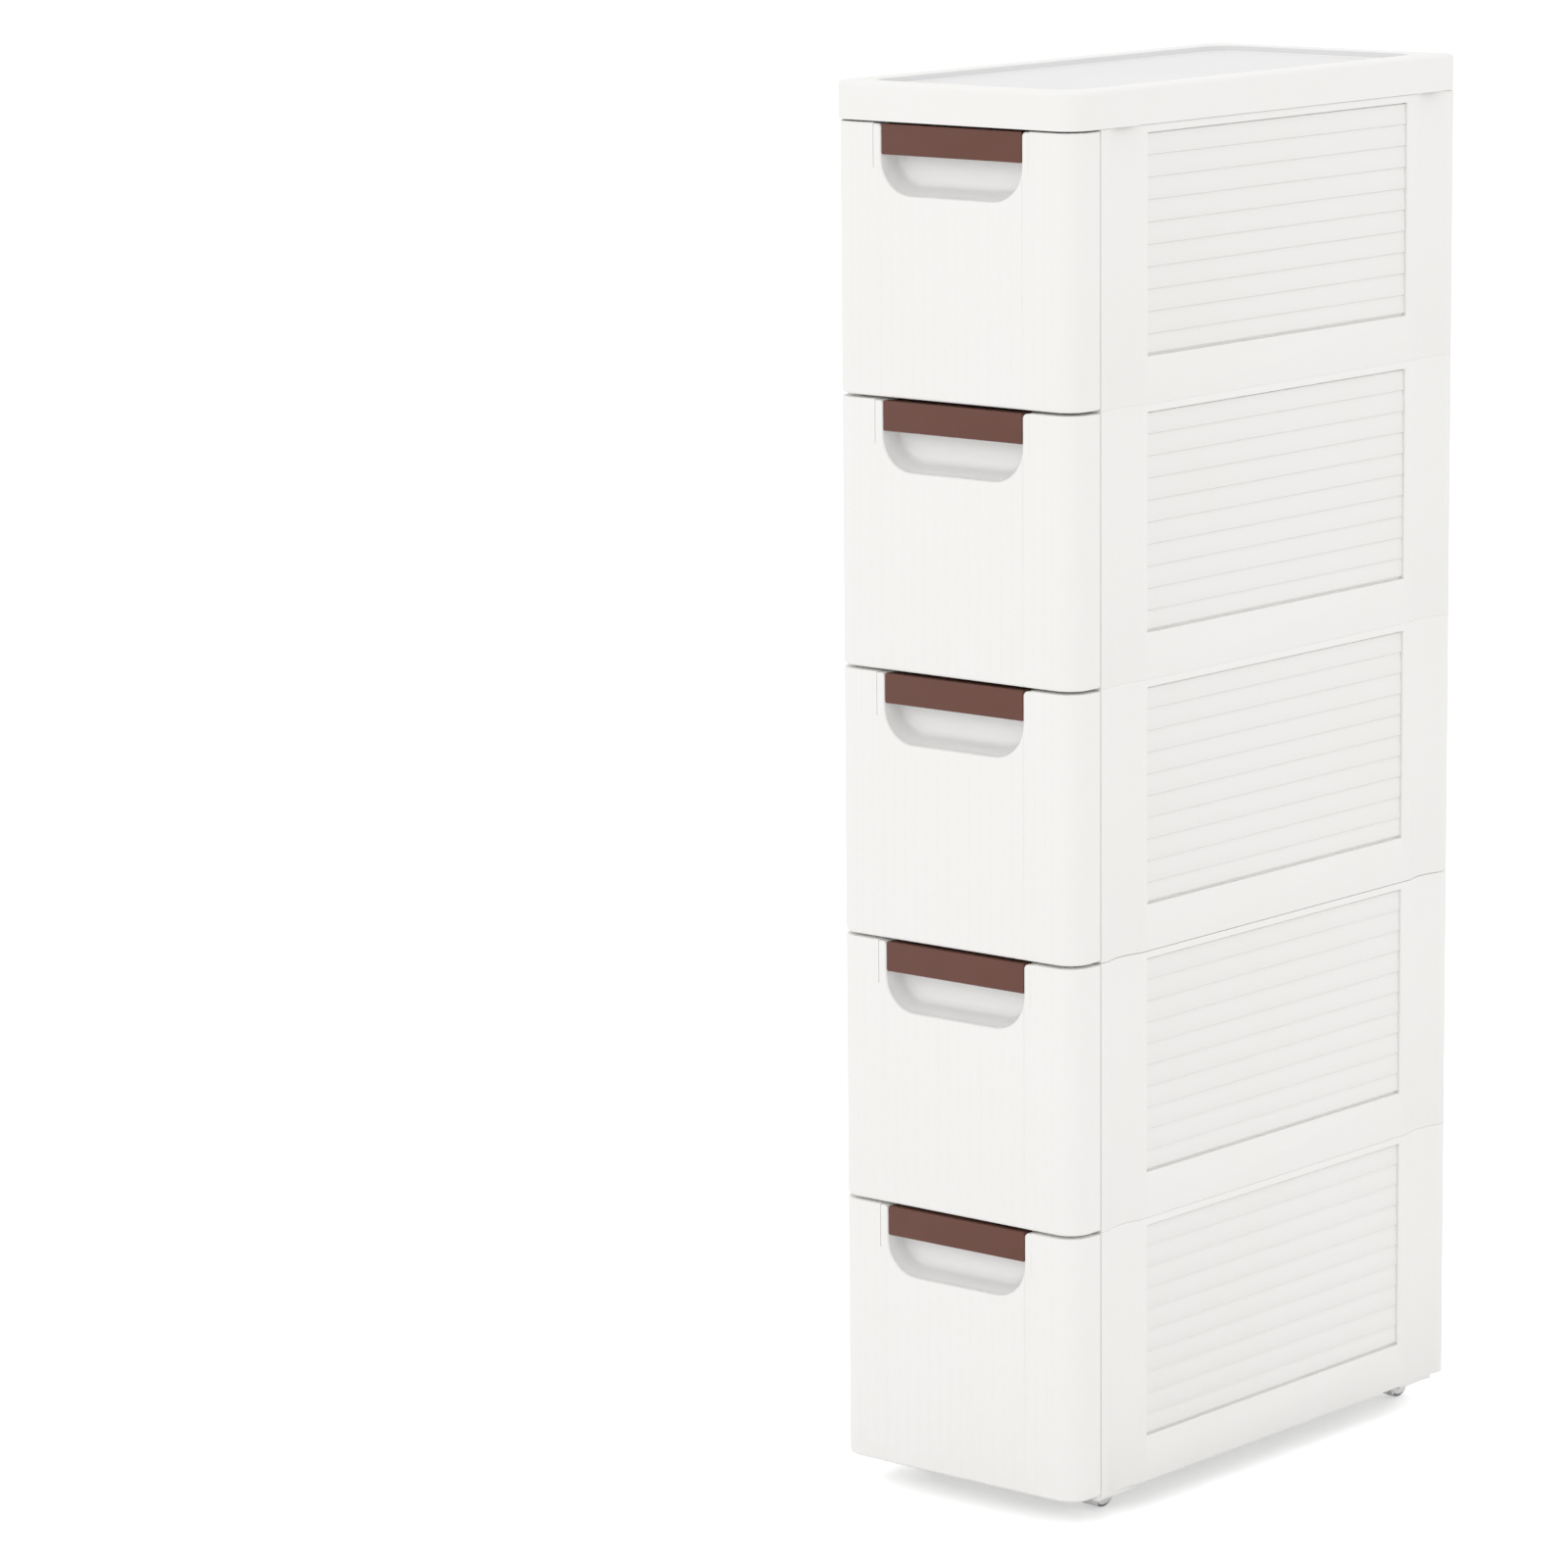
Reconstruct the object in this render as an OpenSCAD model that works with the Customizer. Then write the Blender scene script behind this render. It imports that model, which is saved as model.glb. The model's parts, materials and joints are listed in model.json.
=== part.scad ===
// Slim rolling drawer tower: stacked tiers with louvred side walls, one drawer
// in each tier, a tray-shaped top cover and four small swivel casters.
//
// Frame: X runs across the tower, Y from the drawer fronts (facing -Y) to the
// back, Z up from the floor. The origin is on the floor under the middle.
// Every size is in millimetres.

/* [Tower] */
// Width across the outer faces of the side walls
tower_w = 201; // [180:1:245]
// Depth from the drawer fronts to the rear edges of the side walls
tower_d = 419; // [340:1:505]
// Number of tiers, each with its own drawer
tier_count = 5; // [2:1:5]
// Height of one tier
tier_h = 180; // [150:1:220]
// Visible joint line between stacked pieces
seam = 0.2; // [0.1:0.1:0.8]

/* [Top cover] */
// How far the cover stands out past the tower on each side
cover_overhang = 1; // [0.5:0.5:3]
// Height of the cover, rim included
cover_h = 24.8; // [18:0.1:35]
// Gap between the cover and the walls below it
cover_gap = 0.2; // [0.2:0.1:1.5]
// Radius of the cover's upright corners at the front
cover_r = 17; // [10:1:25]
// Radius of its corners at the rear
cover_rear_r = 4; // [3:0.5:25]
// Width of the flat rim around the tray
rim_w = 17; // [10:1:25]
// Depth of the tray in the top
tray_depth = 5; // [4.5:0.5:8]
// Radius of the tray's corners
tray_r = 20; // [6:1:26]
// Wall of the cover
cover_wall = 2.5; // [2:0.1:3.5]
// Bevel along the cover's top edge
cover_bevel = 2; // [1:0.5:4]

/* [Side walls] */
// Distance from the drawer fronts back to the walls' front edges
wall_front = 28; // [24:0.5:36]
// Thickness of a wall between its posts, louvre field left out
wall_t = 4.5; // [4:0.1:6]
// Thickness of the hollowed corner posts
post_t = 10.5; // [10:0.5:14]
// Front-to-back length of a corner post
post_len = 46; // [44:1:56]
// Width of the shallow upright scallop in each post
scallop_w = 34; // [20:1:36]
// Depth of that scallop
scallop_depth = 3; // [1:0.1:4]
// Distance from a wall's end to the middle of the scallop
scallop_inset = 25.5; // [20:0.5:28]
// Height of the spigot under each post
spigot_h = 4; // [3:0.5:6]
// How far a spigot stands back from the post's inner and end faces
spigot_inset = 1.6; // [1.4:0.1:2.5]
// How far a spigot stands back from the post's outer face
spigot_setback = 4.6; // [4.2:0.1:5]

/* [Louvres] */
// Plain band above the louvre field
band_top = 5; // [4:0.5:15]
// Plain band below the louvre field
band_bottom = 31; // [28:1:45]
// Distance from the drawer fronts to the louvre field
louvre_front = 77; // [75:1:95]
// Distance from the louvre field to the wall's rear edge
louvre_rear = 54; // [48:1:70]
// Number of slats in one field
slat_count = 10; // [5:1:14]
// Depth of the field at the lower edge of a slat
slat_low = 1; // [0.5:0.1:1.5]
// Depth of the field at the upper edge of a slat
slat_high = 1.7; // [1.6:0.1:2.2]
// Height of the shadow line under the edge of each slat
slat_line = 0.5; // [0.4:0.1:1.5]
// Depth of that line
slat_line_depth = 2.5; // [2.3:0.1:3]
// Height of the shadow groove along the foot of a louvre field
groove_w = 2; // [0.8:0.1:2.4]
// Width of the groove down the rear end of a field
groove_rear_w = 0.8; // [0.5:0.1:2.4]
// Depth of those grooves
groove_depth = 2.6; // [2.4:0.1:3]

/* [Back panels] */
// Thickness of a back panel
back_t = 2.4; // [2:0.1:3]
// Distance from the panel's rear face to the rear edge of the walls
back_inset = 2.6; // [2.4:0.1:4]
// How deep the panel sits in the posts' grooves
back_grip = 3.6; // [2:0.1:4]
// Plain margin round the ribbed middle of the panel
back_margin = 22; // [15:1:35]
// Height of the panel's horizontal ribs
back_rib = 0.9; // [0.5:0.1:1.2]

/* [Shelves] */
// Height of the runner surface above the bottom of its tier
runner_z = 24; // [22:0.5:28]
// Thickness of the shelf plate
shelf_t = 2.5; // [2:0.1:3]
// Height of the shelf with its flange
flange_h = 12; // [9:0.5:12]
// Thickness of the flange and ribs
flange_t = 2; // [1.6:0.1:2.5]
// Number of cross ribs under a shelf
cross_ribs = 5; // [2:1:8]
// Height of a cross rib below the plate
cross_rib_h = 6; // [3:0.5:8]
// How far the walls' ledges reach in under and over the shelf
ledge_w = 4.6; // [3:0.1:5]
// Thickness of a ledge
ledge_t = 2.6; // [2:0.1:4]

/* [Drawers] */
// Gap between one drawer front and the next
front_gap = 2; // [1.5:0.1:3]
// Gap between a drawer front's rear edge and the walls
front_seam = 1; // [0.4:0.1:1.5]
// Radius of a drawer front's upright corners
front_r = 16.5; // [10:0.5:20]
// Wall of a drawer front
front_wall = 3; // [2.4:0.1:3.2]
// Radius of the posts behind a front that hold its tub
post_r = 4; // [3:0.5:6]
// Bevel along a front's top and bottom edges
front_bevel = 1.2; // [0.5:0.1:2]
// Spacing of the upright grooves on a front
reed_pitch = 9; // [7:0.5:14]
// Width of a groove
reed_w = 1.6; // [1:0.1:2.5]
// Depth of a groove
reed_depth = 0.3; // [0.2:0.1:1]
// Wall of a tub
tub_wall = 2.2; // [1.8:0.1:3]
// Distance from the top of a tier down to its tub's rim
tub_drop = 15; // [10:1:60]
// Thickness of the plate on a tub that closes the drawer front
plate_t = 2.4; // [2:0.1:3]
// How far that plate sits in from the front's rear edge
plate_inset = 5.7; // [1:0.1:8]
// Clearance between a tub and the posts beside it
tub_side_gap = 1; // [0.6:0.1:2]
// Free space between a tub and the back panel
tub_rear_gap = 7; // [4:0.5:20]
// Radius of a tub's rear corners
tub_r = 10; // [5:1:20]
// Height of the skids that carry a tub
skid_h = 1; // [0.6:0.1:2]
// Gap between the skids and the shelf
skid_gap = 0.3; // [0.2:0.1:0.6]
// Distance from the walls' front edges back to the drawer stops
stop_inset = 44.6; // [20:0.1:150]
// Front-to-back length of a stop lug
lug_len = 8; // [5:0.5:12]
// Width of a stop lug
lug_w = 8; // [5:0.5:12]
// Distance of the stop lugs from the middle of the tower
lug_x = 45; // [30:1:50]
// Clearance round a lug in its slot
lug_gap = 0.4; // [0.3:0.1:0.8]

/* [Handles] */
// Half the width of the finger opening
grip_half = 58; // [40:1:64]
// Depth of the finger opening below the tier's top line
grip_h = 47; // [40:1:60]
// Radius of the finger opening's lower corners
grip_r = 24; // [12:1:28]
// Width of the cup's ears beside the opening
ear_w = 6; // [4:0.5:8]
// Height of the ears below the tier's top line
ear_h = 30; // [24:1:34]
// Wall of the finger cup
cup_wall = 2; // [1.6:0.1:2.5]
// How much higher the cup's floor lies at its back
cup_rise = 4; // [2:0.5:12]
// How much narrower the cup is at its back, on each side
cup_draw = 2; // [1:0.5:8]
// Height of the handle's front lip
lip_h = 20; // [14:0.5:22]
// Thickness of that lip
lip_t = 4.5; // [3:0.1:6]
// Thickness of the handle's top plate
handle_top_t = 3; // [2:0.1:4]
// Distance from the tier's top line down to the handle
handle_drop = 1.3; // [1.2:0.1:2.5]
// How far the handle's lip stands back from the drawer front's face
lip_inset = 0.4; // [0.2:0.1:1]
// Clearance between pieces that are fitted together
fit_gap = 0.3; // [0.15:0.05:0.5]

/* [Casters] */
// Radius of a caster wheel
wheel_r = 11.5; // [9:0.5:15]
// Width of a caster wheel
wheel_w = 7; // [5:0.5:7]
// Distance of the wheel's axle behind the swivel axis
trail = 5; // [3:0.5:5]
// Distance from a wall's outer face in to the swivel axis
caster_inset_x = 28.5; // [28.5:0.5:40]
// Distance from a wall's front edge to the front casters' swivel axis
caster_inset_front = 30; // [25:0.5:40]
// Distance from a wall's rear edge to the rear casters' swivel axis
caster_inset_rear = 21; // [21:0.5:40]
// Thickness of the fork's cheeks
cheek_t = 2; // [1.5:0.1:3]
// How far the tread stands out past the round end of a cheek
cheek_margin = 2.2; // [1.5:0.1:3]
// How far that round end lies in front of the axle
cheek_lead = 1.2; // [0:0.1:2]
// Thickness of the fork's crown
crown_t = 3; // [2.5:0.1:4]
// Space between the wheel and the fork's crown
crown_gap = 2; // [1.9:0.1:3]
// Radius of the axle
axle_r = 1.5; // [1:0.1:2]
// Radius of the swivel pin
pin_r = 3; // [2:0.1:3.2]
// Radius of the stem in the base frame
stem_r = 4; // [3.5:0.1:5]
// Length of the stem above its collar
stem_len = 8; // [5:0.5:8]
// How far the casters' collars lie above the walls' lower edges
caster_recess = 11.3; // [8:0.1:12]
// Radial clearance of a turning fit
run_gap = 0.05; // [0.03:0.01:0.1]

/* [Hidden] */
$fn = 64;
white = [0.93, 0.93, 0.92];
cup_white = [0.89, 0.89, 0.88];
brown = [0.44, 0.32, 0.28];
wheel_grey = [0.42, 0.42, 0.43];
steel = [0.72, 0.73, 0.75];
eps = 0.01;

crown_z = 2 * wheel_r + crown_gap;
collar_z = crown_z + crown_t + 0.2;
collar_t = 2;
mount_z = collar_z + collar_t + 0.1;
base_z = mount_z - caster_recess;
stack_top = base_z + tier_count * tier_h;

half_w = tower_w / 2;
front_y = -tower_d / 2;
wall_y = front_y + wall_front;
rear_y = tower_d / 2;
wall_len = rear_y - wall_y;
wall_in = half_w - wall_t;
post_in = half_w - post_t;

louvre_y = front_y + louvre_front;
louvre_len = tower_d - louvre_front - louvre_rear;
louvre_h = tier_h - band_top - band_bottom;
slat_h = louvre_h / slat_count;
scallop_r = (scallop_w * scallop_w / 4 + scallop_depth * scallop_depth) / (2 * scallop_depth);

back_y = rear_y - back_inset - back_t;
back_half = post_in + back_grip;
back_gap = 0.2;

shelf_front = wall_y + 1.5;
shelf_rear = back_y - 0.5;
shelf_half = post_in - fit_gap;
tab_half = wall_in - fit_gap;
tab_y0 = wall_y + post_len + 1;
tab_y1 = rear_y - post_len - 1;

tub_half = post_in - tub_side_gap;
tub_rear = back_y - tub_rear_gap;
front_depth = wall_front - front_seam;
cup_depth = front_depth - plate_inset - plate_t;
plate_y = front_y + cup_depth;
lip_y = front_y + lip_inset;
plate_half = half_w - front_wall - fit_gap;
plate_z = front_gap / 2 + front_wall + fit_gap;
tub_floor = runner_z + skid_gap + skid_h;
tub_top = tier_h - tub_drop;
skid_w = 6;
skid_x = tub_half - 9;
lug_y = tub_rear - 14;
rim_bead = 1.2;

ear_half = grip_half + ear_w;
lip_r = 1.2;
boss_edge = 20;

axle_z = wheel_r;
fork_half = wheel_w / 2 + 0.5 + cheek_t;
cheek_r = wheel_r - cheek_margin;
collar_r = 7.5;
boss_r = 9;
caster_x = half_w - caster_inset_x;
caster_front_y = wall_y + caster_inset_front;
caster_rear_y = rear_y - caster_inset_rear;
CASTERS = [
    ["front_left", -caster_x, caster_front_y],
    ["front_right", caster_x, caster_front_y],
    ["rear_left", -caster_x, caster_rear_y],
    ["rear_right", caster_x, caster_rear_y],
];

// Bottom of tier n; tier 1 is the highest
function tier_z(n) = base_z + (tier_count - n) * tier_h;

// ---- Shared outlines -------------------------------------------------------

// Rectangle centred on X from y0 to y1, rounded by r in front and r_rear behind
module rounded_plan(half, y0, y1, r, r_rear) {
    middle = (y0 + y1) / 2;
    half_rounded_plan(half, y0, middle + eps, r, -1);
    half_rounded_plan(half, middle, y1, r_rear, 1);
}

// The same, rounded only at the front (side = -1) or the rear (side = 1)
module half_rounded_plan(half, y0, y1, r, side) {
    y_round = side < 0 ? y0 + r : y1 - r;
    translate([-half, side < 0 ? y_round : y0]) square([2 * half, y1 - y0 - r]);
    translate([-half + r, y0]) square([2 * (half - r), y1 - y0]);
    intersection() {
        for (s = [-1, 1]) translate([s * (half - r), y_round]) circle(r);
        translate([-half, y0]) square([2 * half, y1 - y0]);
    }
}

// Outline of the finger opening, hanging down from the tier's top line
module grip_outline(half, h, r) {
    translate([-half, r - h]) square([2 * half, h - r + 10]);
    translate([-half + r, -h]) square([2 * (half - r), r + eps]);
    for (s = [-1, 1]) translate([s * (half - r), r - h]) circle(r);
}

// Stands a drawing in X and Z upright, from depth y0 to y1
module upright(y0, y1) {
    translate([0, y1, 0]) rotate([90, 0, 0]) linear_extrude(y1 - y0) children();
}

// Section of a louvre field, from the outer face (x = 0) inwards: slats that lean
// back, each with a shadow line of height h and depth d under the next one's edge
module slat_section(count, pitch, low, high, h, d) {
    polygon(concat(
        [[1, 0]],
        [for (i = [1 : count]) each [
            [-low, (i - 1) * pitch], [-high, i * pitch - h], [-d, i * pitch - h], [-d, i * pitch]]],
        [[1, count * pitch]]));
}

// ---- Top cover -------------------------------------------------------------

module cover_plan(inset) {
    rounded_plan(half_w + cover_overhang - inset, front_y - cover_overhang + inset,
                 rear_y + cover_overhang - inset, cover_r - inset,
                 cover_rear_r - min(inset, cover_rear_r / 2));
}

module top_cover() {
    bottom = stack_top + cover_gap;
    top = bottom + cover_h;
    tray_z = top - tray_depth;
    color(white) {
        difference() {
            hull() {
                translate([0, 0, bottom]) linear_extrude(cover_h - cover_bevel) cover_plan(0);
                translate([0, 0, bottom]) linear_extrude(cover_h) cover_plan(cover_bevel);
            }
            // Tray in the top
            translate([0, 0, tray_z]) linear_extrude(tray_depth + 1)
                rounded_plan(half_w + cover_overhang - rim_w, front_y - cover_overhang + rim_w,
                             rear_y + cover_overhang - rim_w, tray_r, tray_r);
            // Hollow under the tray, and the taller one under the rim
            translate([0, 0, bottom - 1]) linear_extrude(tray_z - cover_wall - bottom + 1)
                cover_plan(cover_wall);
            translate([0, 0, bottom]) linear_extrude(top - cover_wall - bottom) difference() {
                cover_plan(cover_wall);
                rounded_plan(half_w + cover_overhang - rim_w + cover_wall,
                             front_y - cover_overhang + rim_w - cover_wall,
                             rear_y + cover_overhang - rim_w + cover_wall,
                             tray_r + cover_wall, tray_r + cover_wall);
            }
        }
        // Pegs that plug into the posts of the highest tier
        for (s = [0, 1], rear = [false, true]) mirror([s, 0, 0])
            translate([0, 0, stack_top - spigot_h])
                linear_extrude(top - cover_wall - stack_top + spigot_h + eps)
                    spigot_section(0, rear);
    }
}

// ---- Side walls ------------------------------------------------------------

// Section of a right-hand post's spigot, grown by `gap` for its socket
module spigot_section(gap, rear) {
    y0 = rear ? rear_y - post_len : wall_y;
    w = post_t - spigot_inset - spigot_setback + 2 * gap;
    difference() {
        translate([post_in + spigot_inset - gap, y0 + spigot_inset - gap])
            square([w, post_len - 2 * (spigot_inset - gap)]);
        // Clear of the back panel's groove
        if (rear) translate([post_in - 1, back_y - spigot_inset + gap])
            square([post_t, back_t + back_inset + spigot_inset]);
    }
}

module right_wall(n) {
    z0 = tier_z(n);
    color(white) difference() {
        union() {
            translate([wall_in, wall_y, z0 + seam / 2]) cube([wall_t, wall_len, tier_h - seam]);
            for (y = [wall_y, rear_y - post_len])
                translate([post_in, y, z0 + seam / 2]) cube([post_t, post_len, tier_h - seam]);
            // Ledges that hold the shelf's side tabs from below and above
            for (z = [runner_z - flange_h - ledge_t, runner_z + 0.2])
                translate([wall_in - ledge_w, tab_y0, z0 + z])
                    cube([ledge_w + eps, tab_y1 - tab_y0, ledge_t]);
            for (rear = [false, true]) translate([0, 0, z0 - spigot_h])
                linear_extrude(spigot_h + 1) spigot_section(0, rear);
        }
        // Louvre field with shadow grooves along its foot and its rear end
        translate([half_w, louvre_y + louvre_len, z0 + band_bottom]) rotate([90, 0, 0])
            linear_extrude(louvre_len)
                slat_section(slat_count, slat_h, slat_low, slat_high, slat_line, slat_line_depth);
        translate([half_w - groove_depth, louvre_y, z0 + band_bottom])
            cube([groove_depth + 1, louvre_len, groove_w]);
        translate([half_w - groove_depth, louvre_y + louvre_len - groove_rear_w, z0 + band_bottom])
            cube([groove_depth + 1, groove_rear_w, louvre_h]);
        // Scallops down the corner posts
        for (y = [wall_y + scallop_inset, rear_y - scallop_inset])
            translate([half_w - scallop_depth + scallop_r, y, z0 - 1])
                cylinder(r = scallop_r, h = tier_h + 2);
        // Sockets for the spigots of the piece above
        for (rear = [false, true]) translate([0, 0, z0 + tier_h - spigot_h])
            linear_extrude(spigot_h + 1) spigot_section(0.2, rear);
        // Groove for the back panel
        translate([post_in - 1, back_y - back_gap, z0 - spigot_h - 1])
            cube([back_grip + back_gap + 1, back_t + 2 * back_gap, tier_h + spigot_h + 2]);
    }
}

module left_wall(n) mirror([1, 0, 0]) right_wall(n);

// ---- Back panels -----------------------------------------------------------

module back_panel(n) {
    z0 = tier_z(n);
    rib_half = post_in - back_margin;
    rib_z = z0 + band_bottom;
    color(white) {
        translate([-back_half, back_y, z0 + seam]) cube([2 * back_half, back_t, tier_h - 2 * seam]);
        // Raised lower edge of each horizontal rib
        for (i = [0 : slat_count - 1])
            translate([-rib_half, back_y + back_t - eps, rib_z + i * slat_h]) rotate([90, 0, 90])
                linear_extrude(2 * rib_half)
                    polygon([[0, 0], [back_rib + eps, 0], [eps, slat_h - 0.6], [0, slat_h - 0.6]]);
    }
}

// ---- Shelves and base frame ------------------------------------------------

module shelf_plan(inset) {
    translate([-shelf_half + inset, shelf_front + inset])
        square([2 * (shelf_half - inset), shelf_rear - shelf_front - 2 * inset]);
    translate([-tab_half + inset, tab_y0 + 0.5 + inset])
        square([2 * (tab_half - inset), tab_y1 - tab_y0 - 1 - 2 * inset]);
}

// Shelf whose runner surface is at height z
module shelf_body(z) {
    slot_y0 = wall_y + stop_inset;
    slot_len = lug_y + lug_len + lug_gap - slot_y0;
    rib_step = (shelf_rear - shelf_front) / (cross_ribs + 1);
    rib_z = z - shelf_t - cross_rib_h;
    difference() {
        union() {
            difference() {
                translate([0, 0, z - flange_h]) linear_extrude(flange_h) shelf_plan(0);
                translate([0, 0, z - flange_h - 1]) linear_extrude(flange_h - shelf_t + 1)
                    shelf_plan(flange_t);
            }
            for (i = [1 : cross_ribs])
                translate([1 - shelf_half, shelf_front + i * rib_step - flange_t / 2, rib_z])
                    cube([2 * shelf_half - 2, flange_t, cross_rib_h + eps]);
            // Ribs along both sides of each slot
            for (s = [-1, 1], x = [lug_x - lug_w, lug_x + lug_w])
                translate([s * x - flange_t / 2, shelf_front + 1, rib_z])
                    cube([flange_t, shelf_rear - shelf_front - 2, cross_rib_h + eps]);
        }
        // Slots that the drawer's stop lugs run in
        for (s = [-1, 1])
            translate([s * lug_x - lug_w / 2 - lug_gap, slot_y0, z - shelf_t - lug_gap])
                cube([lug_w + 2 * lug_gap, slot_len, shelf_t + 1]);
    }
}

module shelf(n) color(white) shelf_body(tier_z(n) + runner_z);

module base_frame() {
    z = base_z + runner_z;
    color(white) difference() {
        union() {
            shelf_body(z);
            for (c = CASTERS) translate([c[1], c[2], mount_z])
                cylinder(r = boss_r, h = z - shelf_t - mount_z + eps);
        }
        for (c = CASTERS) translate([c[1], c[2], mount_z - 1])
            cylinder(r = stem_r + run_gap, h = stem_len + 1.5);
    }
}

// ---- Drawers ---------------------------------------------------------------

module front_plan(inset, depth) {
    half_rounded_plan(half_w - inset, front_y + inset, front_y + depth, front_r - inset, -1);
}

module drawer_front(n) {
    z0 = tier_z(n) + front_gap / 2;
    h = tier_h - front_gap;
    top_line = tier_z(n) + tier_h;
    reed_end = half_w - front_r - 2;
    color(white) for (s = [-1, 1], z = [boss_edge, h - boss_edge])
        // Posts behind the face that the tub's front plate is fixed to
        translate([s * (half_w - boss_edge), plate_y, z0 + z]) rotate([90, 0, 0])
            cylinder(r = post_r, h = cup_depth - front_wall + eps);
    color(white) difference() {
        hull() {
            translate([0, 0, z0 + front_bevel]) linear_extrude(h - 2 * front_bevel)
                front_plan(0, front_depth);
            translate([0, 0, z0]) linear_extrude(h) front_plan(front_bevel, front_depth);
        }
        // Hollow behind the face, open to the rear
        translate([0, 0, z0 + front_wall]) linear_extrude(h - 2 * front_wall)
            front_plan(front_wall, front_depth + 1);
        // Finger opening, wider at the top for the cup's ears
        translate([0, 0, top_line]) upright(front_y - 1, front_y + front_wall + 1)
            grip_outline(grip_half, grip_h, grip_r);
        translate([-ear_half - fit_gap, front_y - 1, top_line - ear_h - fit_gap])
            cube([2 * (ear_half + fit_gap), cup_depth + fit_gap + 1, ear_h + fit_gap]);
        // Upright grooves between the reeds
        for (s = [-1, 1], x = [reed_pitch / 2 : reed_pitch : reed_end])
            translate([s * x, front_y, z0 - 1]) linear_extrude(h + 2)
                polygon([[-reed_w / 2, -eps], [reed_w / 2, -eps], [0, reed_depth]]);
    }
}

module drawer_tub(n) {
    z0 = tier_z(n);
    y0 = plate_y + plate_t;
    color(white) {
        difference() {
            union() {
                translate([0, 0, z0 + tub_floor]) linear_extrude(tub_top - tub_floor)
                    half_rounded_plan(tub_half, y0 - eps, tub_rear, tub_r, 1);
                // Plate that closes the drawer front from behind
                translate([-plate_half, plate_y, z0 + plate_z])
                    cube([2 * plate_half, plate_t, tier_h - 2 * plate_z]);
            }
            translate([0, 0, z0 + tub_floor + tub_wall]) linear_extrude(tub_top)
                half_rounded_plan(tub_half - tub_wall, y0, tub_rear - tub_wall, tub_r - tub_wall, 1);
        }
        // Bead that stiffens the rim on the inside
        translate([0, 0, z0 + tub_top - 4]) linear_extrude(4) difference() {
            half_rounded_plan(tub_half - tub_wall + eps, y0, tub_rear - tub_wall + eps, tub_r - tub_wall, 1);
            translate([0, -eps]) half_rounded_plan(tub_half - tub_wall - rim_bead, y0,
                tub_rear - tub_wall - rim_bead, tub_r - tub_wall - rim_bead, 1);
        }
        for (s = [-1, 1]) {
            // Skid along the floor, and the lug that stops the drawer
            translate([s * skid_x - skid_w / 2, y0 + 4, z0 + runner_z + skid_gap])
                cube([skid_w, tub_rear - tub_r - y0 - 4, skid_h + eps]);
            translate([s * lug_x - lug_w / 2, lug_y, z0 + runner_z - shelf_t + skid_gap])
                cube([lug_w, lug_len, tub_floor - runner_z + shelf_t - skid_gap + eps]);
        }
    }
}

// White cup behind the finger opening, with an ear each side of the handle
module finger_cup(n) {
    top_line = tier_z(n) + tier_h;
    y_wall = front_y + front_wall + 0.2;
    y_draw = max(y_wall, lip_y + lip_t + fit_gap);
    y_back = front_y + cup_depth;
    color(cup_white) translate([0, 0, top_line]) difference() {
        union() {
            translate([-ear_half, front_y, -ear_h]) cube([2 * ear_half, cup_depth, ear_h - handle_drop]);
            intersection() {
                upright(y_wall, y_back)
                    grip_outline(grip_half + cup_wall, grip_h + cup_wall, grip_r + cup_wall);
                translate([-half_w, front_y, -2 * grip_h])
                    cube([tower_w, cup_depth, 2 * grip_h - ear_h + 1]);
            }
        }
        // The bowl: its floor and sides draw in towards the back
        hull() {
            upright(y_draw - 0.1, y_draw) grip_outline(grip_half, grip_h, grip_r);
            upright(y_back - cup_wall - 0.1, y_back - cup_wall)
                grip_outline(grip_half - cup_draw, grip_h - cup_rise, grip_r - 4);
        }
        upright(front_y - 1, y_draw) grip_outline(grip_half, grip_h, grip_r);
        upright(front_y - 1, y_wall) grip_outline(grip_half, grip_h + 5, grip_r);
        // Slots for the handle's tenons
        for (s = [-1, 1]) translate([s * (grip_half + 1) - 2.6, lip_y + lip_r - 0.1, -16.1])
            cube([5.2, lip_t - 2 * lip_r + 0.2, 8.2]);
    }
}

module handle(n) {
    half = grip_half - fit_gap;
    z1 = -handle_drop;
    r = lip_r;
    plate_rear = front_y + cup_depth - cup_wall - fit_gap;
    color(brown) translate([0, 0, tier_z(n) + tier_h]) {
        // Front lip with rounded edges, then the plate that covers the cup
        translate([-half, 0, 0]) rotate([90, 0, 90]) linear_extrude(2 * half) {
            translate([lip_y + r, z1 - lip_h]) square([lip_t - 2 * r, lip_h]);
            translate([lip_y, z1 - lip_h + r]) square([lip_t, lip_h - 2 * r]);
            for (y = [r, lip_t - r], z = [r, lip_h - r]) translate([lip_y + y, z1 - lip_h + z]) circle(r);
        }
        translate([0, 0, z1 - handle_top_t]) linear_extrude(handle_top_t)
            polygon([[-half + 0.5, lip_y + lip_t - r], [half - 0.5, lip_y + lip_t - r],
                     [half - cup_draw, plate_rear], [cup_draw - half, plate_rear]]);
        for (s = [-1, 1]) translate([s * (grip_half + 1) - 2.5, lip_y + lip_r, -16])
            cube([5, lip_t - 2 * lip_r, 8]);
    }
}

// ---- Casters ---------------------------------------------------------------

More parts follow.
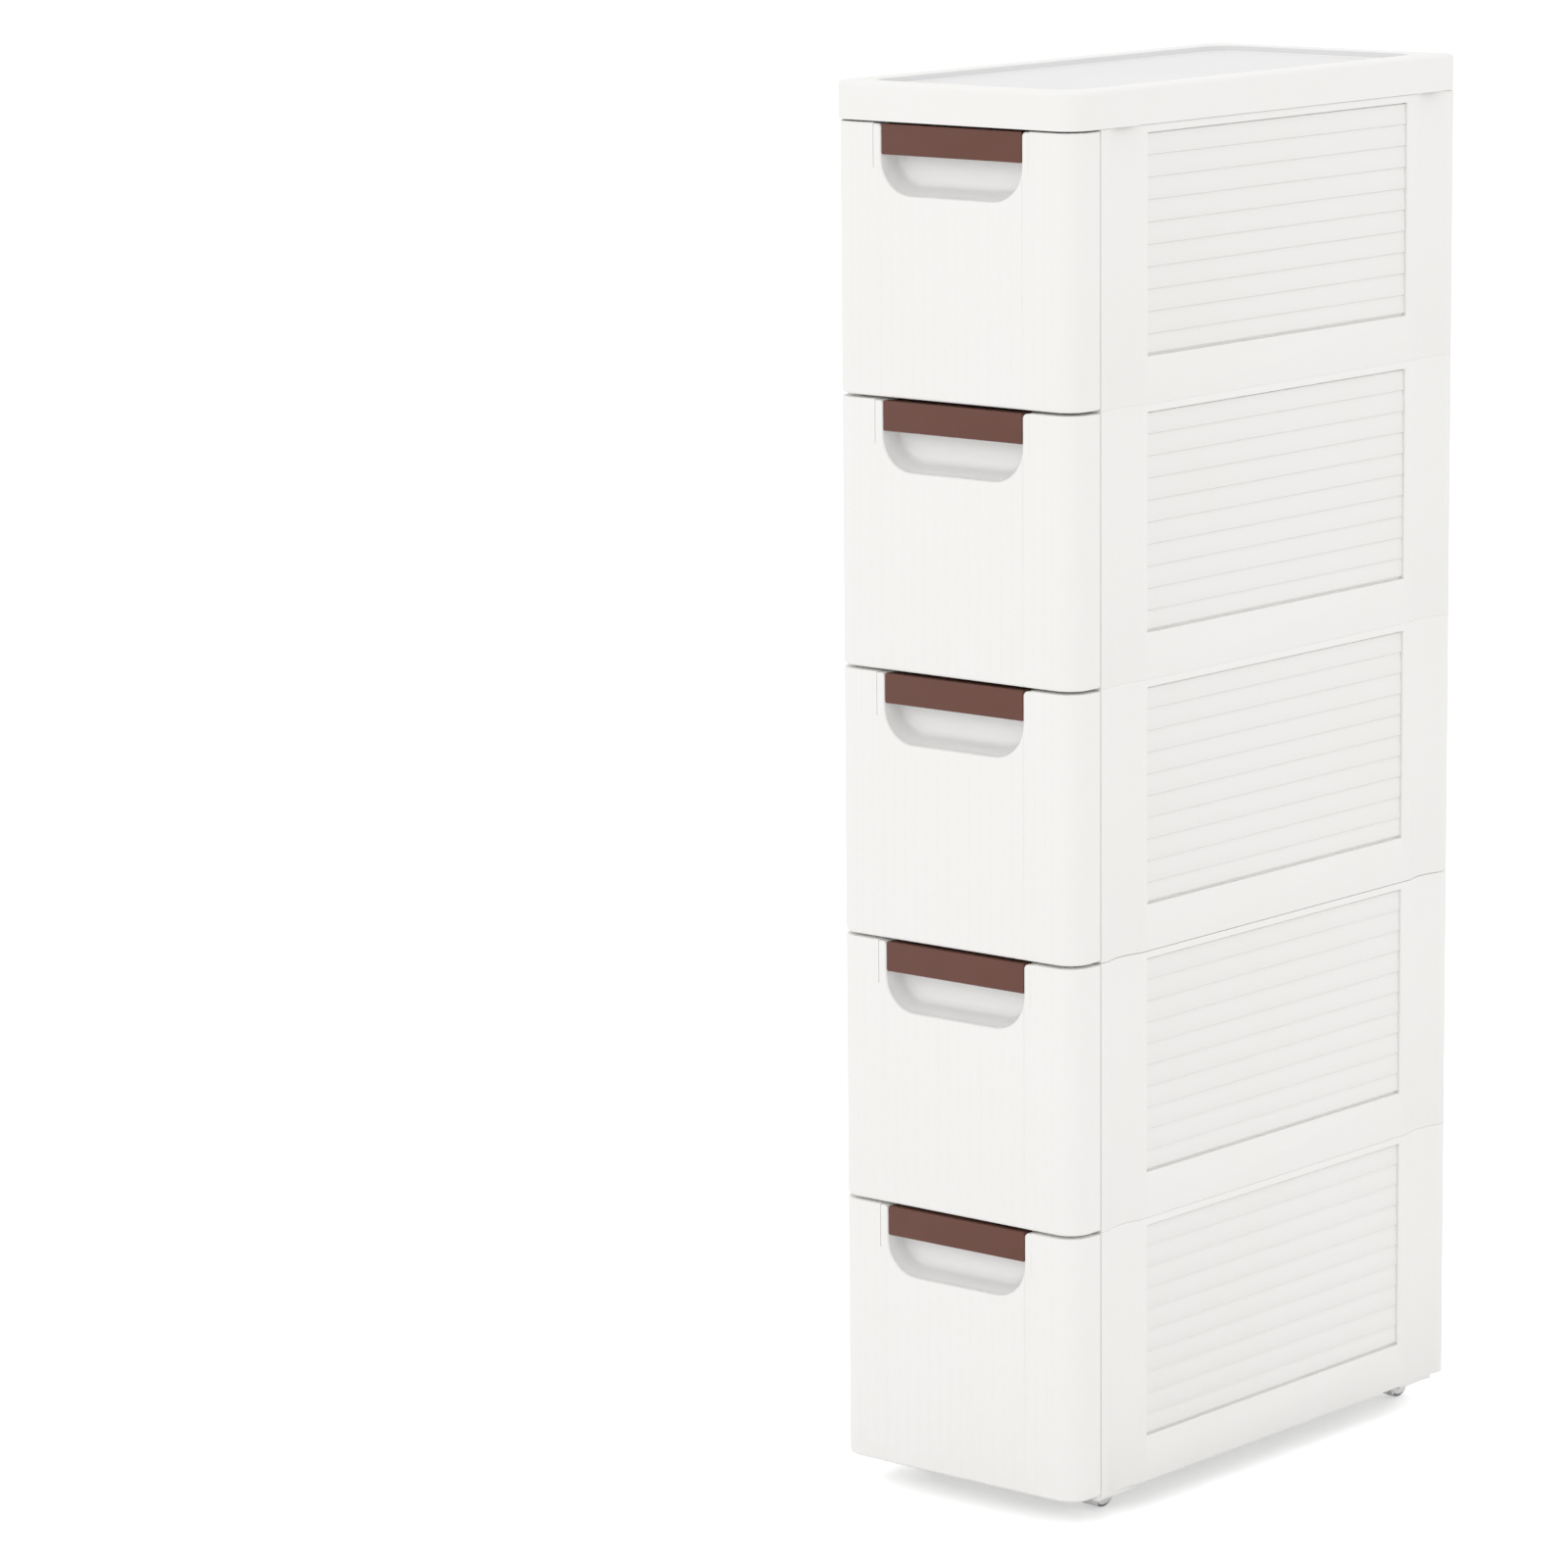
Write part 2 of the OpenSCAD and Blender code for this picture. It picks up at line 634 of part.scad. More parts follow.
// Collar and stem in the base frame, with the pin the fork turns on
module caster_stem(c) {
    color(steel) translate([c[1], c[2], 0]) {
        translate([0, 0, collar_z]) cylinder(r = collar_r, h = collar_t);
        translate([0, 0, collar_z + collar_t - eps]) cylinder(r = stem_r, h = stem_len);
        translate([0, 0, crown_z - 0.6]) cylinder(r = pin_r, h = collar_z - crown_z + 0.6 + eps);
        translate([0, 0, crown_z - 1.4]) cylinder(r = pin_r + 1, h = 1.2);
    }
}

module caster_fork(c) {
    color(white) translate([c[1], c[2], 0]) difference() {
        union() {
            translate([0, 0, crown_z]) {
                cylinder(r = 7, h = crown_t);
                translate([-fork_half, -2, 0]) cube([2 * fork_half, trail + 9, crown_t]);
            }
            // Cheeks with a round end that covers the hub and leaves the tread free
            for (x = [-fork_half, fork_half - cheek_t])
                translate([x, 0, 0]) rotate([90, 0, 90]) linear_extrude(cheek_t) {
                    translate([trail - cheek_lead, axle_z - 0.3]) circle(cheek_r);
                    translate([-2, axle_z]) square([trail + 9, crown_z + 1 - axle_z]);
                }
        }
        translate([0, 0, crown_z - 1]) cylinder(r = pin_r + run_gap, h = crown_t + 2);
        translate([-fork_half - 1, trail, axle_z]) rotate([0, 90, 0])
            cylinder(r = axle_r + 0.02, h = 2 * fork_half + 2);
    }
}

module caster_axle(c) {
    color(steel) translate([c[1] - fork_half, c[2] + trail, axle_z]) rotate([0, 90, 0])
        cylinder(r = axle_r, h = 2 * fork_half);
}

// Tyre with a chamfered tread and a hub that is dished on both sides
module caster_wheel(c) {
    w = wheel_w / 2;
    bore = axle_r + run_gap;
    color(wheel_grey) translate([c[1], c[2] + trail, axle_z]) rotate([0, -90, 0]) rotate_extrude()
        polygon([[bore, -w], [3.2, -w], [4, -w + 1.2], [wheel_r - 3, -w + 1.2], [wheel_r - 2.4, -w],
                 [wheel_r - 0.8, -w], [wheel_r, -w + 1], [wheel_r, w - 1], [wheel_r - 0.8, w],
                 [wheel_r - 2.4, w], [wheel_r - 3, w - 1.2], [4, w - 1.2], [3.2, w], [bore, w]]);
}

// ---- Nodes -----------------------------------------------------------------

top_cover();
base_frame();
for (n = [1 : tier_count]) {
    left_wall(n);
    right_wall(n);
    back_panel(n);
    drawer_front(n);
    drawer_tub(n);
    finger_cup(n);
    handle(n);
}
for (n = [1 : tier_count - 1])
    shelf(n);
for (c = CASTERS) {
    caster_stem(c);
    caster_fork(c);
    caster_axle(c);
    caster_wheel(c);
}
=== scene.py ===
"""A slim plastic drawer tower on casters, dressed for its photograph.

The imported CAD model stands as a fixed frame. Every visible moulding is modelled
again here with soft edges, on the same sizes, and takes the place of its CAD node.
Sizes are in millimetres until a mesh is made.
"""

import json
import logging
import math
from abc import ABC, abstractmethod
from dataclasses import dataclass
from enum import Enum
from typing import Callable, Iterable, Optional, Sequence, Union

import bmesh
import bpy
from mathutils import Matrix, Vector

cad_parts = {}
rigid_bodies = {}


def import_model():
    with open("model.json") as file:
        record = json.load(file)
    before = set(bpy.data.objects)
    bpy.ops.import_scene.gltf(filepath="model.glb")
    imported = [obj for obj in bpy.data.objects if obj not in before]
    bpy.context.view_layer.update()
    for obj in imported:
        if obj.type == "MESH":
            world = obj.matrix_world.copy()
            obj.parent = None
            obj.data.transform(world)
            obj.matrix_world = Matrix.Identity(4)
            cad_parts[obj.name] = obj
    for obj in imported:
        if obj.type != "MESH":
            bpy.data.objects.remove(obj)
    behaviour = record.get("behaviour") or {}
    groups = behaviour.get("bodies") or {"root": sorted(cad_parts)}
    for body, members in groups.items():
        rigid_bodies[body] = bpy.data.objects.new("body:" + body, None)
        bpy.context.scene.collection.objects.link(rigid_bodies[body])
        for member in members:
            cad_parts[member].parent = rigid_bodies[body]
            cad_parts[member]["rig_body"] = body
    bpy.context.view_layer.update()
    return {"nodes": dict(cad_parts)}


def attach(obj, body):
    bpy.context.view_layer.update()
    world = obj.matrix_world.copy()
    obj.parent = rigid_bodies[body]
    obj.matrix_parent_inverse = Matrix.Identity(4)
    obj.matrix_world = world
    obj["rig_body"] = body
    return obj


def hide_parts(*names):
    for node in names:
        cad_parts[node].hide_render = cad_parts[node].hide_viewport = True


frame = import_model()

log = logging.getLogger("drawer_tower")

MM = 0.001  # a millimetre in metres
NEAR = 0.02  # lengths that differ by less are the same, in millimetres
SLACK = 0.1  # how far a test reaches past the place it looks for, in millimetres
CLEAR = 5.0  # how far a cutting tool stands out of its piece, in millimetres
POKE = 1.0  # the same for the tools of thin pieces
FACING = 0.5  # least share of an axis in the normal of a face that looks along it
CUT_NEAR = 1e-7  # points closer to a flat cut than this lie on it, in metres
MERGE_NEAR = 2e-6  # points closer than this are merged, in metres
SMOOTH = 40.0  # angle between faces up to which shading runs on, in degrees

FaceTest = Callable[[Vector, Vector], bool]
EdgeTest = Callable[[Vector, Vector], bool]
PointTest = Callable[[Vector], bool]


def near(a: float, b: float) -> bool:
    """True if two lengths in millimetres are the same."""
    return abs(a - b) < NEAR


class Axis(Enum):
    """A direction of the tower's frame."""

    X = 0
    Y = 1
    Z = 2

    def along(self, distance: float) -> Vector:
        """A vector of that length along the axis."""
        v = Vector((0.0, 0.0, 0.0))
        v[self.value] = distance
        return v


class Element(Enum):
    """What is selected, with the name of the mesh's list of them."""

    VERT = "verts"
    EDGE = "edges"
    FACE = "faces"


class Keep(Enum):
    """What is kept of a piece and another solid."""

    OUTSIDE = "DIFFERENCE"
    BOTH = "UNION"
    SHARED = "INTERSECT"


def every(*_: Vector) -> bool:
    """True for any face or point."""
    return True


def level(z: float) -> EdgeTest:
    """A test for edges that lie at one height."""
    return lambda a, b: near(a.z, z) and near(b.z, z)


def along(axis: Axis, **at: float) -> EdgeTest:
    """A test for straight edges along an axis.

    Args:
        axis: the direction of the edges.
        at: their x, y or z, where only edges at that place are meant.

    Returns:
        The test.
    """
    across = [i for i in range(3) if i != axis.value]

    def test(a: Vector, b: Vector) -> bool:
        """True for an edge along the axis at that place."""
        straight = all(near(a[i], b[i]) for i in across)
        return straight and all(near(getattr(a, name), place) for name, place in at.items())

    return test


# ---- Shader writing --------------------------------------------------------


class Signal:
    """A shader socket that takes part in Python expressions."""

    def __init__(self, graph: "Graph", socket: bpy.types.NodeSocket) -> None:
        """Wraps a socket of a graph."""
        self.graph = graph
        self.socket = socket

    def _maths(self, operation: str, a: "Value", b: "Value") -> "Signal":
        """Adds a Math node for an operation on two values or signals."""
        return self.graph.add("ShaderNodeMath", {"operation": operation}, {0: a, 1: b})

    def __add__(self, other: "Value") -> "Signal":
        """self + other."""
        return self._maths("ADD", self, other)

    def __mul__(self, other: "Value") -> "Signal":
        """self * other."""
        return self._maths("MULTIPLY", self, other)

    def __sub__(self, other: "Value") -> "Signal":
        """self - other."""
        return self._maths("SUBTRACT", self, other)


Value = Union[Signal, float, Sequence[float]]


class Graph:
    """The node tree of a material or of the world."""

    def __init__(self, tree: bpy.types.NodeTree) -> None:
        """Empties a node tree to write it anew."""
        self.tree = tree
        tree.nodes.clear()

    def add(
        self,
        kind: str,
        settings: Optional[dict] = None,
        sockets: Optional[dict] = None,
        result: Union[int, str] = 0,
    ) -> Signal:
        """Adds one node.

        Args:
            kind: the node's type.
            settings: its properties, set before its inputs.
            sockets: values or signals for its inputs, by name or number.
            result: the output to hand back.

        Returns:
            That output as a signal, an empty one if the node has no output.
        """
        node = self.tree.nodes.new(kind)
        for name, value in (settings or {}).items():
            setattr(node, name, value)
        for key, value in (sockets or {}).items():
            if isinstance(value, Signal):
                self.tree.links.new(value.socket, node.inputs[key])
            else:
                node.inputs[key].default_value = value
        return Signal(self, node.outputs[result] if node.outputs else None)

    def noise(self, where: Signal, size: float, detail: float, rough: float) -> Signal:
        """Noise whose features are about `size` millimetres across."""
        return self.add(
            "ShaderNodeTexNoise",
            {"noise_dimensions": "3D"},
            {"Vector": where, "Scale": 1 / (size * MM), "Detail": detail, "Roughness": rough},
        )

    def blend(self, share: Value, a: Value, b: Value) -> Signal:
        """Mixes colour a with colour b by a share from 0 to 1."""
        return self.add(
            "ShaderNodeMix",
            {"data_type": "RGBA", "blend_type": "MIX"},
            {0: share, 6: a, 7: b},
            2,
        )


def srgb(r: int, g: int, b: int) -> tuple[float, float, float, float]:
    """A colour as seen on a screen, 0 to 255 each, in the shader's linear values."""

    def linear(c: float) -> float:
        """One channel from 0 to 1 in linear light."""
        return c / 12.92 if c <= 0.04045 else ((c + 0.055) / 1.055) ** 2.4

    return (linear(r / 255), linear(g / 255), linear(b / 255), 1.0)


# ---- Finishes --------------------------------------------------------------


@dataclass(frozen=True)
class Finish(ABC):
    """What a piece is made of and how its surface looks.

    Args:
        name: the material's name.
        slot: the record's material slot; not used.
    """

    name: str
    slot: str

    @abstractmethod
    def _surface(self, g: Graph, here: Signal) -> Signal:
        """Writes the finish's shader.

        Args:
            g: the material's nodes.
            here: the Object coordinates.

        Returns:
            The shader.
        """

    def material(self) -> bpy.types.Material:
        """The finish's material, made once.

        Returns:
            A procedural material on Object coordinates.
        """
        made = bpy.data.materials.get(self.name)
        if made is None:
            made = bpy.data.materials.new(self.name)
            made.use_nodes = True
            g = Graph(made.node_tree)
            here = g.add("ShaderNodeTexCoord", result="Object")
            g.add("ShaderNodeOutputMaterial", None, {"Surface": self._surface(g, here)})
        return made


@dataclass(frozen=True)
class MouldedPlastic(Finish):
    """Injection-moulded plastic with a fine spark-eroded skin.

    Args:
        colour: the plastic's colour on screen.
        shade: the colour of the faint flow marks in it.
        roughness: the middle roughness of the skin.
        skin_size: the size of the skin's bumps in millimetres.
        skin_depth: their depth in millimetres.
        gloss: specular level.
    """

    colour: tuple[int, int, int]
    shade: tuple[int, int, int]
    roughness: float = 0.42
    skin_size: float = 0.9
    skin_depth: float = 0.012
    gloss: float = 0.4

    # Flow marks: wavelengths in millimetres, shares of the two noises, level and gain
    FLOW, CLOUD = 140, 18
    FLOW_SHARE, CLOUD_SHARE = 0.7, 0.3
    MARK_LEVEL, MARK_GAIN = 0.38, 2.6
    # What the noises add to the roughness, and their mean that is taken off again
    CLOUD_ROUGH, SKIN_ROUGH, MEAN_ROUGH = 0.10, 0.06, 0.08
    BUMP_STRENGTH, IOR = 0.5, 1.49

    def _surface(self, g: Graph, here: Signal) -> Signal:
        """Writes the plastic's shader.

        Args:
            g: the material's nodes.
            here: the Object coordinates.

        Returns:
            The shader.
        """
        flow = g.noise(here, self.FLOW, 3, 0.55)
        cloud = g.noise(here, self.CLOUD, 3, 0.5)
        skin = g.noise(here, self.skin_size, 2, 0.6)
        swirl = flow * self.FLOW_SHARE + cloud * self.CLOUD_SHARE
        swirl = (swirl - self.MARK_LEVEL) * self.MARK_GAIN
        marks = g.add("ShaderNodeClamp", None, {"Value": swirl})
        tint = g.blend(marks, srgb(*self.colour), srgb(*self.shade))
        rough = cloud * self.CLOUD_ROUGH + skin * self.SKIN_ROUGH
        rough = rough + (self.roughness - self.MEAN_ROUGH)
        depth = self.skin_depth * MM
        bump = {"Strength": self.BUMP_STRENGTH, "Distance": depth, "Height": skin}
        sockets = {
            "Base Color": tint,
            "Roughness": rough,
            "Normal": g.add("ShaderNodeBump", None, bump),
            "Specular IOR Level": self.gloss,
            "IOR": self.IOR,
        }
        return g.add("ShaderNodeBsdfPrincipled", None, sockets)


@dataclass(frozen=True)
class ZincSteel(Finish):
    """Turned steel with a bright, faintly spangled zinc coat."""

    PALE, DARK = (196, 199, 204), (168, 171, 178)
    SPANGLE, GRIT = 2.5, 0.3  # sizes in millimetres
    GRIT_DEPTH, BUMP_STRENGTH = 0.01, 0.4
    LEAST_ROUGH, SPANGLE_ROUGH = 0.2, 0.2

    def _surface(self, g: Graph, here: Signal) -> Signal:
        """Writes the steel's shader.

        Args:
            g: the material's nodes.
            here: the Object coordinates.

        Returns:
            The shader.
        """
        spangle = g.noise(here, self.SPANGLE, 3, 0.6)
        grit = g.noise(here, self.GRIT, 2, 0.6)
        tint = g.blend(spangle, srgb(*self.PALE), srgb(*self.DARK))
        depth = self.GRIT_DEPTH * MM
        bump = {"Strength": self.BUMP_STRENGTH, "Distance": depth, "Height": grit}
        sockets = {
            "Base Color": tint,
            "Roughness": spangle * self.SPANGLE_ROUGH + self.LEAST_ROUGH,
            "Normal": g.add("ShaderNodeBump", None, bump),
            "Metallic": 1.0,
        }
        return g.add("ShaderNodeBsdfPrincipled", None, sockets)


WHITE = MouldedPlastic("white_moulded_plastic", "white_plastic", (245, 244, 242), (244, 243, 240))
TRAY_WHITE = MouldedPlastic(
    "tray_textured_plastic", "white_plastic", (237, 236, 236), (235, 233, 233), 0.55, 1.1, 0.03, 0.3
)
# The tray's inner walls: a greyer white that is painted shade, darkening the upright walls as the
# shade in the tray would.
TRAY_WALL_PAINTED_SHADE = MouldedPlastic(
    "tray_edge_plastic", "white_plastic", (228, 228, 229), (225, 225, 226), 0.5, 1.1, 0.02, 0.3
)
CUP_WHITE = MouldedPlastic(
    "cup_moulded_plastic", "cup_plastic", (245, 244, 242), (244, 243, 240), 0.36
)
# The bowl's lining: a real polished finish, in a white above the cup's that is painted light,
# lifting the shade in the finger recess.
BOWL_PAINTED_LIGHT = MouldedPlastic(
    "bowl_polished_plastic", "cup_plastic", (254, 254, 253), (253, 253, 252), 0.17, 0.9, 0.003, 0.6
)
BROWN = MouldedPlastic(
    "brown_moulded_plastic", "brown_plastic", (109, 73, 63), (105, 70, 60), 0.5, 0.8, 0.012, 0.25
)
CASTER_WHITE = MouldedPlastic(
    "caster_moulded_plastic", "caster_plastic", (247, 246, 245), (243, 242, 241), 0.38, 0.5, 0.008
)
WHEEL_GREY = MouldedPlastic(
    "wheel_moulded_plastic", "wheel_plastic", (150, 150, 151), (140, 140, 141), 0.55, 0.6, 0.02, 0.3
)
ZINC = ZincSteel("zinc_plated_steel", "bright_steel")


# ---- The bench -------------------------------------------------------------


class Blank:
    """A workpiece: one mesh, shaped with the edit tools, measured in millimetres."""

    def __init__(self, ob: bpy.types.Object) -> None:
        """Takes an object onto the bench."""
        self.ob = ob

    @staticmethod
    def leave_edit() -> None:
        """Goes back to object mode with nothing selected."""
        if bpy.context.mode != "OBJECT":
            bpy.ops.object.mode_set(mode="OBJECT")
        bpy.ops.object.select_all(action="DESELECT")

    def _pick(self) -> None:
        """Makes the piece the one selected and active object."""
        self.leave_edit()
        self.ob.select_set(True)
        bpy.context.view_layer.objects.active = self.ob

    @classmethod
    def _fresh(cls, name: str) -> "Blank":
        """Names the object just made, and takes its place and size into its mesh.

        Args:
            name: the name.

        Returns:
            The workpiece.
        """
        ob = bpy.context.active_object
        ob.name = ob.data.name = name
        bpy.ops.object.transform_apply(location=True, rotation=True, scale=True)
        return cls(ob)

    @classmethod
    def block(
        cls,
        name: str,
        x: tuple[float, float],
        y: tuple[float, float],
        z: tuple[float, float],
    ) -> "Blank":
        """Starts from a block.

        Args:
            name: the piece's name.
            x: its two ends in X.
            y: its two ends in Y.
            z: its two ends in Z.

        Returns:
            The workpiece.
        """
        cls.leave_edit()
        spans = [sorted(s) for s in (x, y, z)]
        bpy.ops.mesh.primitive_cube_add(size=1, location=[sum(s) / 2 * MM for s in spans])
        bpy.context.active_object.scale = [(high - low) * MM for low, high in spans]
        return cls._fresh(name)

    @classmethod
    def rod(
        cls, name: str, centre: Vector, radius: float, length: float, axis: Axis, sides: int = 48
    ) -> "Blank":
        """Starts from a cylinder.

        Args:
            name: the piece's name.
            centre: its middle.
            radius: its radius.
            length: its length.
            axis: the direction it lies in.
            sides: the number of its sides.

        Returns:
            The workpiece.
        """
        cls.leave_edit()
        turn = {
            Axis.X: (0, math.pi / 2, 0),
            Axis.Y: (math.pi / 2, 0, 0),
            Axis.Z: (0, 0, 0),
        }[axis]
        bpy.ops.mesh.primitive_cylinder_add(
            vertices=sides,
            radius=radius * MM,
            depth=length * MM,
            location=centre * MM,
            rotation=turn,
        )
        return cls._fresh(name)

    # Selecting

    def _edit(self, kind: Element) -> bmesh.types.BMesh:
        """Opens the mesh in edit mode with nothing selected.

        Args:
            kind: what is to be selected.

        Returns:
            The open mesh.
        """
        if bpy.context.mode != "EDIT_MESH":
            self._pick()
            bpy.ops.object.mode_set(mode="EDIT")
        bpy.ops.mesh.select_mode(type=kind.name)
        bpy.ops.mesh.select_all(action="DESELECT")
        return bmesh.from_edit_mesh(self.ob.data)

    def _select(self, kind: Element, passes: Callable[..., bool]) -> "Blank":
        """Selects the elements of the mesh that pass a test.

        Args:
            kind: what is selected.
            passes: the test of one element.

        Returns:
            The workpiece.
        """
        bm = self._edit(kind)
        bm.normal_update()
        for element in getattr(bm, kind.value):
            if passes(element):
                element.select_set(True)
        if kind is Element.VERT:
            bm.select_flush(True)
        bmesh.update_edit_mesh(self.ob.data)
        return self

    def faces(self, test: FaceTest) -> "Blank":
        """Selects the faces whose middle and normal pass the test."""
        return self._select(Element.FACE, lambda f: test(f.calc_center_median() / MM, f.normal))

    def edges(self, test: EdgeTest) -> "Blank":
        """Selects the edges whose two ends pass the test."""
        return self._select(Element.EDGE, lambda e: test(*(v.co / MM for v in e.verts)))

    def points(self, test: PointTest) -> "Blank":
        """Selects the points that pass the test."""
        return self._select(Element.VERT, lambda v: test(v.co / MM))

    def keep(self, test: PointTest) -> "Blank":
        """Of the selected points, keeps those selected that pass the test.

        Args:
            test: a test of a point.

        Returns:
            The workpiece.
        """
        bpy.ops.mesh.select_mode(type="VERT")
        bm = bmesh.from_edit_mesh(self.ob.data)
        for v in bm.verts:
            if v.select and not test(v.co / MM):
                v.select_set(False)
        bm.select_flush(False)
        bmesh.update_edit_mesh(self.ob.data)
        return self

    # Shaping what is selected

    def extrude(self, x: float = 0.0, y: float = 0.0, z: float = 0.0) -> "Blank":
        """Extrudes the selected faces.

        Args:
            x: how far in X.
            y: how far in Y.
            z: how far in Z.

        Returns:
            The workpiece.
        """
        step = {"value": Vector((x, y, z)) * MM}
        bpy.ops.mesh.extrude_region_move(TRANSFORM_OT_translate=step)
        return self

    def swell(self, distance: float) -> "Blank":
        """Extrudes the selected faces along their normals.

        Args:
            distance: how far.

        Returns:
            The workpiece.
        """
        step = {"value": distance * MM}
        bpy.ops.mesh.extrude_region_shrink_fatten(TRANSFORM_OT_shrink_fatten=step)
        return self

    def inset(self, thickness: float) -> "Blank":
        """Insets the selected faces."""
        bpy.ops.mesh.inset(thickness=thickness * MM, depth=0.0, use_even_offset=True)
        return self

    def bevel(self, width: float, segments: int) -> "Blank":
        """Rounds the selected edges."""
        bpy.ops.mesh.bevel(
            offset=width * MM,
            segments=segments,
            affect="EDGES",
            offset_type="OFFSET",
            profile=0.5,
        )
        return self

    def move(self, x: float = 0.0, y: float = 0.0, z: float = 0.0) -> "Blank":
        """Moves what is selected."""
        bpy.ops.transform.translate(value=Vector((x, y, z)) * MM)
        return self

    def scale(self, by: Sequence[float], about: Sequence[float]) -> "Blank":
        """Scales what is selected about a point."""
        bpy.ops.transform.resize(value=by, center_override=Vector(about) * MM)
        return self

    def drop_faces(self) -> "Blank":
        """Deletes the selected faces."""
        bpy.ops.mesh.delete(type="FACE")
        return self

    # Shaping the whole piece

    def slice(self, axis: Axis, places: Iterable[float], only: FaceTest = every) -> "Blank":
        """Cuts flat across the mesh without parting it.

        Args:
            axis: the direction square to the cuts.
            places: where the cuts lie on that axis.
            only: a test for the faces to cut. All are cut if it is left out.

        Returns:
            The workpiece.
        """
        for place in places:
            self.faces(only)
            bpy.ops.mesh.bisect(
                plane_co=axis.along(place * MM), plane_no=axis.along(1.0), threshold=CUT_NEAR
            )
        return self

    def tidy(self) -> "Blank":
        """Merges points that lie on each other.

        Returns:
            The workpiece.
        """
        self.faces(every)
        bpy.ops.mesh.remove_doubles(threshold=MERGE_NEAR)
        return self

    def _modify(self, kind: str, **settings: object) -> "Blank":
        """Adds a modifier and applies it.

        Args:
            kind: the modifier's type.
            settings: its properties.

        Returns:
            The workpiece.
        """
        self._pick()
        bpy.ops.object.modifier_add(type=kind)
        modifier = self.ob.modifiers[-1]
        for name, value in settings.items():
            setattr(modifier, name, value)
        bpy.ops.object.modifier_apply(modifier=modifier.name)
        return self

    def shell(self, thickness: float) -> "Blank":
        """Gives an open skin its wall, inwards."""
        return self._modify(
            "SOLIDIFY", thickness=thickness * MM, offset=-1.0, use_even_offset=True
        )

    def round_over(self, width: float, segments: int = 2, angle: float = 38.0) -> "Blank":
        """Rounds every edge that is sharper than the angle in degrees."""
        return self._modify(
            "BEVEL",
            width=width * MM,
            segments=segments,
            limit_method="ANGLE",
            angle_limit=math.radians(angle),
            use_clamp_overlap=True,
        )

    def cut(self, tool: "Blank", keep: Keep = Keep.OUTSIDE) -> "Blank":
        """Takes a tool's shape away, or adds or keeps it.

        Args:
            tool: the other solid, which is used up.
            keep: what is kept of the two.

        Returns:
            The workpiece.
        """
        self._modify("BOOLEAN", object=tool.ob, operation=keep.value, solver="EXACT")
        tool.discard()
        return self

    def weld(self, part: "Blank") -> "Blank":
        """Makes the part one solid with this piece."""
        return self.cut(part, Keep.BOTH)

    def join(self, *parts: "Blank") -> "Blank":
        """Adds other meshes to this one as they are.

        Args:
            parts: the pieces to add.

        Returns:
            The workpiece.
        """
        self._pick()
        for part in parts:
            part.ob.select_set(True)
        bpy.ops.object.join()
        return self

    def twin(self, name: str, x: float = 0.0, y: float = 0.0, z: float = 0.0) -> "Blank":
        """Copies the piece, with its own mesh.

        Args:
            name: the copy's name.
            x: how far it moves in X.
            y: how far in Y.
            z: how far in Z.

        Returns:
            The copy.
        """
        self._pick()
        bpy.ops.object.duplicate(linked=False)
        bpy.context.active_object.location = Vector((x, y, z)) * MM
        return self._fresh(name)

    def discard(self) -> None:
        """Removes the piece, once it has served."""
        bpy.data.objects.remove(self.ob)

    def mirrored(self, name: str) -> "Blank":
        """Copies the piece to the other side of the tower.

        Args:
            name: the copy's name.

        Returns:
            The copy.
        """
        other = self.twin(name)
        other.faces(every).scale((-1, 1, 1), (0, 0, 0))
        bpy.ops.mesh.normals_make_consistent(inside=False)
        return other

    def line(self, finish: Finish, test: FaceTest) -> "Blank":
        """Gives some faces a finish of their own.

        Args:
            finish: the finish.
            test: a test of a face's middle and normal.

        Returns:
            The workpiece.
        """
        data = self.ob.data
        if not data.materials:
            data.materials.append(None)
        data.materials.append(finish.material())
        self.faces(test)
        self.ob.active_material_index = len(data.materials) - 1
        bpy.ops.object.material_slot_assign()
        return self

    def dress(self, finish: Finish, *nodes: str) -> "Blank":
        """Shades and finishes the piece, and sets it in the place of its CAD nodes.

        Args:
            finish: the finish it is made in.
            nodes: the CAD nodes it stands for, all on one body.

        Returns:
            The workpiece.
        """
        self._pick()
        bpy.ops.object.shade_smooth_by_angle(angle=math.radians(SMOOTH))
        data = self.ob.data
        if data.materials:
            data.materials[0] = finish.material()
        else:
            data.materials.append(finish.material())
        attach(self.ob, frame["nodes"][nodes[0]]["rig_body"])
        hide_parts(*nodes)
        log.info("%s: %d faces, for %s", data.name, len(data.polygons), ", ".join(nodes))
        return self


# ---- The tower's pieces ----------------------------------------------------


@dataclass(frozen=True)
class Tower:
    """Sizes that several pieces share, in millimetres.

    Args:
        width: across the side walls.
        depth: from the drawer fronts to the rear edges.
        tier: height of a tier.
        tiers: number of tiers.
        skirt: height of the lowest wall's lower edge above the floor.
        wall_front: from the drawer fronts back to the walls.
    """

    width: float = 201.0
    depth: float = 419.0
    tier: float = 180.0
    tiers: int = 5
    skirt: float = 19.0
    wall_front: float = 28.0

    @property
    def half(self) -> float:
        """Half the width."""
        return self.width / 2

    @property
    def front(self) -> float:
        """Y of the drawer fronts."""
        return -self.depth / 2

    @property
    def rear(self) -> float:
        """Y of the walls' rear edges."""
        return self.depth / 2

    @property
    def wall_y(self) -> float:
        """Y of the walls' front edges."""
        return self.front + self.wall_front

    @property
    def top(self) -> float:
        """Height of the highest tier's top."""
        return self.skirt + self.tiers * self.tier

    def floor_of(self, tier: int) -> float:
        """Height of the bottom of a tier, 1 being the highest."""
        return self.skirt + (self.tiers - tier) * self.tier

    def levels(self) -> list[tuple[int, float]]:
        """Each tier's number and how far it lies below the highest one."""
        return [(n, (1 - n) * self.tier) for n in range(1, self.tiers + 1)]


